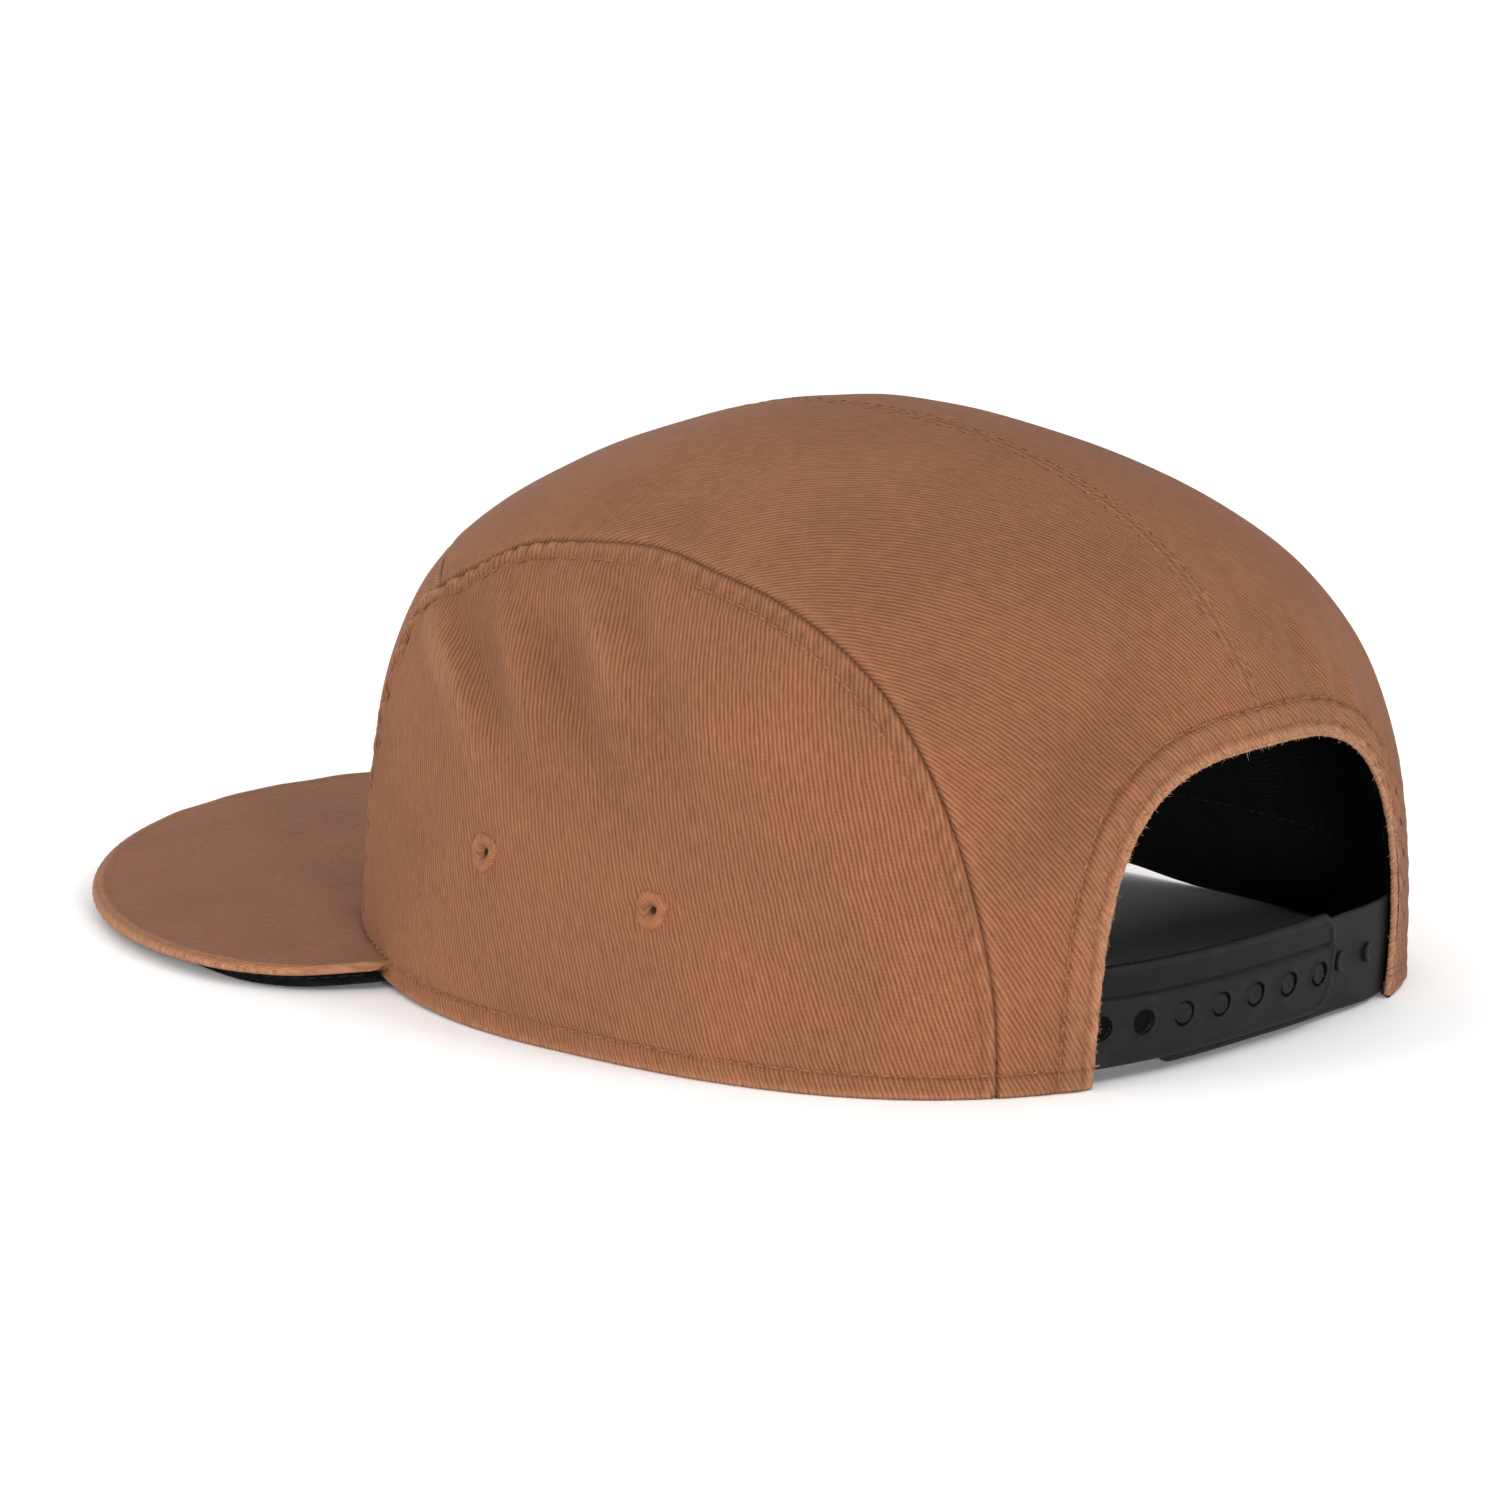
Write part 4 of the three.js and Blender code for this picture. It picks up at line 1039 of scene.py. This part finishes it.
def eyelet(label, ex, ey):
    centre = crown_surface(np.array([ex]), np.array([ey]))[0]
    normal = crown_normals(np.array([ex]), np.array([ey]))[0]
    side = unit(np.cross((0, 0, 1), normal))
    up = np.cross(normal, side)
    turns = even_turns(132)
    loops = []
    for i, (radius, lift) in enumerate(eyelet_profile):
        thread_wave = 0.1 * np.abs(np.sin(turns * 22 + 0.25 * i)) * window(radius, 0.8, 4.0, 0.5)
        uneven = 1 + 0.05 * np.sin(3 * turns + ex * 9) + 0.03 * np.sin(7 * turns)
        rise = lift + thread_wave + 0.06 * np.sin(5 * turns + 2)
        loops.append(circle(centre, side, up, radius * uneven, turns) + np.outer(rise, normal))
    points = np.stack(loops)
    outward = np.broadcast_to(normal, points.shape)
    faces = ring_faces(len(loops), len(turns))
    piece = make_piece(f"eyelet_threads_{label}", points, faces, thread, outward)
    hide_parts(f"eyelet_{label}")
    # A dark brown disc and cone deep in the hole stand in for the shade inside it: painted shade.
    disc = circle(centre, side, up, 0.62, np.linspace(0, 2 * math.pi, 41)) - normal
    points = np.concatenate([[centre - 1.3 * normal], disc])
    faces = np.array([(0, i, i + 1) for i in range(1, 41)])
    hole = make_piece(f"eyelet_hole_shade_{label}", points, faces, eyelet_shade)


for label, ex, ey in eyelets:
    eyelet(label, ex, ey)

# Lining and sweatband


def thicken(piece, thickness):
    """Gives a sheet a thickness in millimetres, inwards from its face."""
    thick = piece.modifiers.new("thickness", "SOLIDIFY")
    thick.thickness = 0.001 * thickness
    thick.offset = -1


def inside_of(across, along, depth):
    """Points a number of millimetres inside the smooth crown."""
    return smooth_points(across, along) - crown_normals(across, along) * np.asarray(depth)[..., None]


def lining():
    foot = place_at(np.linspace(0, 2 * math.pi, 193), lining_foot)
    across, along = (np.outer(np.linspace(1, 0.004, 60), values) for values in foot)
    points = smooth_points(across, along)
    uneven = 0.5 * ripple(points[..., 0], points[..., 1] + points[..., 2], 24)
    points = crown_surface(across, along, -(lining_depth + np.clip(uneven, -0.3, 0.6)))
    inside = (along > 0) & (arch_norm(points[..., 0], points[..., 2], 1.6) < 1)
    faces = grid_faces(*across.shape)
    faces = faces[~inside.ravel()[faces].any(axis=1)]
    piece = make_piece("lining_cloth", points, faces, lining_cloth, crown_normals(across, along))
    thicken(piece, lining_thickness)
    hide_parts("lining")


def rim_turn(x):
    """Turn from the middle of the back at which the rim lies a distance across."""
    turns = np.linspace(0, 1.4, 1401)
    return float(np.interp(x, rim_points(np.pi / 2 - turns)[:, 0], turns))


def sweatband():
    turn = rim_turn(arch_half_width + 2 + strap_tab + 0.5)
    bearing = np.linspace(np.pi / 2 + turn, 2.5 * np.pi - turn, 301)
    rim = rim_points(bearing)[:, 2]
    heights = np.linspace(0, 1, 19)
    loops = []
    for inner, h in [(0, h) for h in heights] + [(1, h) for h in heights[::-1]]:
        z = mix(rim + sweatband_low, sweatband_high, h)
        rounded = 0.5 * (abs(2 * h - 1) ** 8)
        depth = sweatband_depth + (sweatband_wall - rounded if inner else rounded)
        padding = 0.3 * (1 + 0.35 * ripple(bearing * 90, z, 26)) * (1 - abs(2 * h - 1) ** 3)
        loops.append(inside_of(*place_at(bearing, z), depth + padding * inner))
    faces = ring_faces(len(bearing), len(loops))
    piece = make_piece("sweatband_cloth", np.stack(loops, 1), faces, band_cloth)
    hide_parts("sweatband")
    place = place_at(bearing, sweatband_row)
    line = inside_of(*place, sweatband_depth + sweatband_wall + 0.28)
    row = make_piece("sweatband_stitching", *stitch_shapes(line, -crown_normals(*place)), dark_thread)


lining()
sweatband()

# Peak


def peak_frame(count):
    """Rim and edge of the peak in plan, and their turns, from its right end round the tip to its left."""
    shares, outs = peak_outline.T
    outline = [np.concatenate([-shares[:0:-1], shares]), np.concatenate([outs[:0:-1], outs])]
    line = catmull_rom(np.stack(outline, -1), 2000)
    turn = line[:, 0] * math.radians(peak_turn)
    bearing = turn - np.pi / 2
    along = unit((rim_points(bearing + 0.001) - rim_points(bearing - 0.001)) * in_plan)
    outward = np.stack([along[:, 1], -along[:, 0], 0 * turn], -1)
    edge = rim_points(bearing) * in_plan + outward * (line[:, 1] * peak_reach)[:, None]
    both = resample(np.concatenate([edge, turn[:, None]], 1), count)
    edge, turn = both[:, :3], both[:, 3]
    return rim_points(turn - np.pi / 2) * in_plan, edge, turn


def peak_rows(from_edge, width):
    """1 in the middle of each row of stitches, at distances from the edge of the peak."""
    return groove(from_edge - peak_row_places[:, None], width).sum(axis=0)


def round_ends(grid, cores, half, layers):
    """Closes both ends of the peak's cover with a half round, and carries the other layers along."""
    turns = np.linspace(0, np.pi / 2, 7)[1:]
    found = []
    for end, beside in ((0, 1), (-1, -2)):
        away = unit((cores[:, end] - cores[:, beside]) * in_plan) * 2.2 * half
        offset = grid[:, end] - cores[:, end]
        caps = [cores[:, end] + offset * math.cos(turn) + away * math.sin(turn) for turn in turns]
        found.append(np.stack(caps, 1))
    grid = np.concatenate([found[0][:, ::-1], grid, found[1]], 1)
    return [grid] + [np.pad(layer, ((0, 0), (len(turns), len(turns)), (0, 0)), "edge") for layer in layers]


def peak():
    rim, edge, turn = peak_frame(401)
    back, widest = edge[0, 1], edge[:, 0].max()

    def top_at(place):
        forward = (back - place[:, 1]) / (back + half_length + peak_reach)
        side = np.minimum(1, np.abs(place[:, 0]) / widest)
        return mix(peak_root_height, peak_tip_height, forward) + peak_arch * (1 - side**2)

    root = inside_of(*place_at(turn - np.pi / 2, top_at(rim)), 0.3) * in_plan
    width = np.linalg.norm(edge - root, axis=1)
    outward = (edge - root) / width[:, None]
    half = peak_thickness / 2
    edge_run = lengths_along(edge, 0)
    # The cover is pressed thinner where the peak tucks under the crown, so that more of the black underside
    # shows below its edge there: partly the underside's own black, partly a dark sheet standing in for the
    # shadow under the brim.
    sag = window(np.abs(turn) / math.radians(peak_turn), 0.72, 9, 0.5)
    pressed = half * (1 - 0.32 * sag)
    rows = []

    def add_row(place, z, core, core_z, normal, chart, wear, gap):
        """Adds a line of the cover from end to end, and the line in the stiff middle that it goes round."""
        rows.append((
            np.column_stack([place[:, :2], z]), np.column_stack([core[:, :2], core_z]),
            np.broadcast_to(normal, place.shape), chart[:, :2],
            (wear + 0 * z)[:, None], (gap + 0 * z)[:, None],
        ))

    # Top face from the root outward, then round the edge to the underside. The cover is painted darker at its
    # root against the crown, in its stitch rows and where it turns under the edge: painted shade.
    for share in np.linspace(0, 1, 76) ** 0.9:
        out = share * (width - half)
        from_edge = width - out
        place = root + outward * out[:, None]
        clear = np.clip(out / 3, 0, 1)
        lift = -0.05 * peak_rows(from_edge, 0.6) * stitched(edge_run) * clear
        lift += 0.02 * np.sin((from_edge - peak_row_places[0]) * 2 * math.pi / peak_row_pitch)
        lift += 0.12 * ripple(place[:, 0], place[:, 1], 30) + 0.25 * groove(from_edge - 1.8, 1.2)
        z = top_at(place) + lift * np.clip(width / 20, 0.2, 1)
        add_row(
            place, z, place, z - pressed, (0, 0, 1.0), place, 0.45 * groove(from_edge - 1.0, 1.2),
            0.03 * peak_rows(from_edge, 0.5) * clear + 0.7 * groove(out, 0.8),
        )
    core = root + outward * (width - half)[:, None]
    for turned in np.linspace(0, np.pi, 15)[1:]:
        bulge = half * math.sin(turned) + 0.05 * np.sin(2 * math.pi * edge_run / 3.7 + np.sin(edge_run / 11))
        place = core + outward * bulge[:, None]
        core_z = top_at(place) - pressed
        add_row(
            place, core_z + pressed * math.cos(turned), core, core_z, outward,
            place + outward * half * turned, 0.75 * math.sin(turned), 0.0 if turned < 2.9 else 0.6,
        )
    for inner, sunk in ((1.6, 0), (3.0, 0), (3.4, 0.6)):
        place = core - outward * np.minimum(inner, width * 0.3)[:, None]
        core_z = top_at(place) - pressed
        add_row(place, core_z - pressed + sunk, place, core_z, (0, 0, -1.0), place + (0, inner, 0), 0.1, 0.2)
    grid, cores, *layers = (np.stack(parts) for parts in zip(*rows))
    grid, normals, chart, wear, gap = round_ends(grid, cores, half, layers)
    rib, run = ribs(chart[..., 0], chart[..., 1], rib_headings["peak"])
    piece = make_piece(
        "peak_cloth", grid, grid_faces(*grid.shape[:2]), peak_twill, normals,
        rib=rib, run=run, wear=wear, gap=np.minimum(gap, 1),
    )
    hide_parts("peak")
    # Black underside, sagging a little where it meets the crown, down into the shadow under the brim: partly
    # the underside's own black, partly a dark sheet standing in for painted shadow there.
    lines = []
    for share in np.linspace(0, 1, 40):
        out = share * (width - half - np.minimum(3.2 - 2 * sag, width * 0.32))
        place = root + outward * out[:, None]
        stitches = peak_rows(width - out, 0.6) * stitched(edge_run) * np.clip(width / 20, 0, 1)
        z = top_at(place) - peak_thickness + 0.12 + 0.15 * stitches
        z -= np.clip(z - 0.25, 0, 1.5) * sag * sag * window(out, -9, 30, 16)
        lines.append(np.column_stack([place[:, :2], z]))
    grid = np.stack(lines)
    down = np.broadcast_to((0, 0, -1.0), grid.shape)
    under = make_piece("peak_under_cloth", grid, grid_faces(*grid.shape[:2]), under_twill, down)
    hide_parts("peak_underside")
    # Stitch rows
    shapes, dark_shapes = [], []
    for from_edge in peak_row_places:
        keep = width > from_edge + 4
        place = (root + outward * (width - from_edge)[:, None])[keep]
        top = top_at(place)
        uneven = 0.12 * ripple(place[:, 0], place[:, 1], 30) * np.clip(width[keep] / 20, 0.2, 1)
        line = np.column_stack([place[:, :2], top + uneven - 0.07])
        shapes.append(stitch_shapes(line, np.broadcast_to((0, 0, 1.0), line.shape), 0.15))
        line = np.column_stack([place[:, :2], top - peak_thickness + 0.18])
        dark_shapes.append(stitch_shapes(line, np.broadcast_to((0, 0, -1.0), line.shape), 0.22))
    row = make_piece("peak_stitching", *join_shapes(shapes), thread)
    row = make_piece("peak_under_stitching", *join_shapes(dark_shapes), dark_thread)


peak()

# Plastic snap strap

strap_turns = np.linspace(-1.05, 1.05, 2101)
strap_runs = lengths_along(rim_points(np.pi / 2 - strap_turns), 0)
strap_runs -= np.interp(0, strap_turns, strap_runs)
strap_depth = wall + 0.5
first_hole = -outer_strap_end + hole_from_end
tab_distance = float(np.interp(rim_turn(arch_half_width + 2 + strap_tab), strap_turns, strap_runs))


def strap_bearing(distance):
    return np.pi / 2 - np.interp(distance, strap_runs, strap_turns)


def strap_points(distance, z, depth):
    """Points at distances along the strap, heights, and depths inside the crown's outer face."""
    return inside_of(*place_at(strap_bearing(distance), z), depth)


def strap_sheet(name, node, end, tab, bottom, depth_at, relief, holes):
    """A moulded band with a rounded end, holes and a raised border."""
    length = abs(tab - end)
    columns, rows = int(length / 0.32), 60
    spans = np.linspace(0, length, columns), np.linspace(0, strap_height, rows)
    along, up = np.meshgrid(*spans, indexing="ij")
    # The free end is rounded: rows close in on the corners
    short = np.maximum(0, strap_corner - along)
    trim = strap_corner - np.sqrt(np.maximum(strap_corner**2 - short**2, 0))
    up = trim + up * (strap_height - 2 * trim) / strap_height
    edge = np.minimum(np.minimum(up, strap_height - up), along + 0.2)
    corner_y = np.maximum(np.maximum(strap_corner - up, up - (strap_height - strap_corner)), 0)
    rounded = strap_corner - np.hypot(short, corner_y)
    edge = np.where((short > 0) & (corner_y > 0), rounded, edge)
    distance = end + math.copysign(1, tab - end) * along
    z = bottom + up
    lift = relief(distance, z, np.maximum(edge, 0))
    # Sunken grooves, the border's edge and the holes are painted darker: painted shade.
    gap = np.clip(-2.2 * lift - 0.3, 0, 0.8)
    keep = np.ones((columns, rows), bool)
    for hole in holes:
        dx, dz = distance - hole, z - hole_height
        r = np.hypot(dx, dz)
        near = (r < hole_radius) & (r > hole_radius - 0.45)
        keep &= (r >= hole_radius) | near
        scale = np.where(near, hole_radius / np.maximum(r, 1e-6), 1)
        distance, z = hole + dx * scale, hole_height + dz * scale
        lift = lift + 0.22 * window(r, hole_radius - 0.2, hole_radius + 0.55, 0.4)
        gap = np.maximum(gap, 0.85 * window(r, -1, hole_radius + 0.2, 0.3))
    faces = grid_faces(columns, rows)
    faces = faces[keep.ravel()[faces].all(axis=1)]
    bearing = strap_bearing(distance)
    outward = np.stack([np.cos(bearing), np.sin(bearing), 0 * bearing], -1)
    points = strap_points(distance, z, depth_at(distance) - lift)
    piece = make_piece(name, points, faces, plastic, outward, gap=gap)
    thicken(piece, strap_wall)
    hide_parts(node)


def outer_relief(distance, z, edge):
    border = 0.3 * window(edge, 0.4, 1.5, 0.4) - 0.5 * groove(edge, 0.4)
    line = -0.5 * groove(z - groove_height, 0.42) * window(distance, -outer_strap_end + 1.6, 80, 1)
    return border + line - 0.3 * window(z, groove_height, 40, 0.6)


def inner_relief(distance, z, edge):
    return 0.15 * window(edge, 0.25, 1.0, 0.4) - 0.3 * groove(edge, 0.35)


def outer_depth(distance):
    return strap_depth + 0 * distance


def inner_depth(distance):
    """The inner band lies under the outer one and comes up beside it."""
    clear = outer_strap_end + 2
    share = np.clip((-distance - clear) / (arch_half_width - 2 - clear), 0, 1)
    return mix(strap_depth + strap_wall + 0.3, strap_depth, smooth_share(share))


def peg_shape(distance, depth):
    centre = strap_points(np.array([distance]), np.array([hole_height]), np.array([depth]))[0]
    bearing = strap_bearing(distance)
    normal = np.array([math.cos(bearing), math.sin(bearing), 0])
    side = np.cross((0, 0, 1), normal)
    turns = even_turns(40)
    loops = [circle(centre, side, (0, 0, 1), radius, turns) + lift * normal for radius, lift in peg_profile]
    return np.concatenate(loops), ring_faces(len(loops), len(turns))


def strap():
    holes = [first_hole + i * hole_pitch for i in range(hole_count)]
    strap_sheet(
        "strap_outer_band", "strap_outer", -outer_strap_end, tab_distance, strap_bottom,
        outer_depth, outer_relief, holes,
    )
    strap_sheet(
        "strap_inner_band", "strap_inner", inner_strap_end, -tab_distance, strap_bottom - under_strap_drop,
        inner_depth, inner_relief, [],
    )
    # Pegs that are in a hole stand out through it
    pegs = []
    for i in range(hole_count):
        distance = first_hole + (i - pegs_past_end) * hole_pitch
        pegs.append(peg_shape(distance, inner_depth(distance) - 0.9 * (i >= pegs_past_end)))
    points, faces = join_shapes(pegs)
    piece = make_piece("strap_pegs", points, faces, plastic, gap=np.zeros(len(points)))
    # Dark discs behind the holes that have no peg, standing in for the shade seen through them: painted shade
    shade_discs = []
    turns = np.arange(33) * 2 * math.pi / 32
    for distance in holes[hole_count - pegs_past_end:]:
        at = np.append(distance, distance + 3 * np.cos(turns))
        up = np.append(hole_height, hole_height + 3 * np.sin(turns))
        shape = strap_points(at, up, np.full(len(at), strap_depth + strap_wall + 0.03))
        shade_discs.append((shape, np.array([(0, i + 1, i) for i in range(1, 33)])))
    piece = make_piece("strap_hole_shade_discs", *join_shapes(shade_discs), lining_cloth)


strap()

# Floor, light and camera


def floor():
    far = 6.0
    mesh = bpy.data.meshes.new("floor")
    mesh.from_pydata([(-far, -far, 0), (far, -far, 0), (far, far, 0), (-far, far, 0)], [], [(0, 1, 2, 3)])
    n = Nodes(bpy.data.materials.new("Floor_paper"))
    tone = n.noise(n.coordinates(), 3.0)
    colour = n.blend(tone, (0.965, 0.965, 0.965), (0.98, 0.98, 0.98))
    mesh.materials.append(n.finish(colour, n.plus(0.9, n.times(tone, 0.05)), n.bump(tone, 0.0001, 0.1)))
    new_object("floor", mesh)


def soft_light(name, place, target, width, power):
    data = bpy.data.lights.new(name, "AREA")
    data.shape = "DISK"
    data.size = width
    data.energy = power
    lamp = new_object(name, data)
    lamp.location = place
    lamp.rotation_euler = (Vector(target) - Vector(place)).to_track_quat("-Z", "Y").to_euler()


def studio():
    """A pale sky, darker towards +Y and overhead."""
    world = bpy.data.worlds.new("studio")
    n = Nodes(world)
    direction = n.add("SeparateXYZ", {0: n.coordinates("Generated")}).outputs
    tone = n.blend(n.ramp(direction[1], 0.25, 0.85), (1, 1, 1), (0.3, 0.3, 0.3))
    sky = n.tree.nodes["Background"]
    n.give(sky.inputs["Color"], n.blend(n.ramp(direction[2], 0.5, 1.0), tone, (0.7, 0.7, 0.7)))
    sky.inputs["Strength"].default_value = 1.17
    bpy.context.scene.world = world


floor()
soft_light("key", (0.79, 1.13, 0.22), (0, 0, 0.05), 0.25, 12)
soft_light("front_fill", (1.3, -0.5, 0.24), (0, 0, 0.05), 0.5, 7.5)
soft_light("far_fill", (-0.8, -1.2, 0.3), (0, 0, 0.05), 0.6, 3)
soft_light("back_fill", (-0.3, 1.15, 1.1), (0, 0.08, 0.05), 0.5, 6.8)
studio()
bpy.context.scene.view_settings.view_transform = "Standard"

# Camera at the photograph's angle
camera_place = Vector((1.13438, 1.02793, 0.38667))
camera_target = Vector((0.00696, 0.01244, 0.0378))
camera_data = bpy.data.cameras.new("camera")
camera_data.lens = 201.587
camera_data.sensor_width = 36
camera = new_object("camera", camera_data)
aim = (camera_target - camera_place).to_track_quat("-Z", "Y").to_matrix().to_4x4()
camera.matrix_world = Matrix.Translation(camera_place) @ aim @ Matrix.Rotation(math.radians(-0.13), 4, "Z")
bpy.context.scene.camera = camera
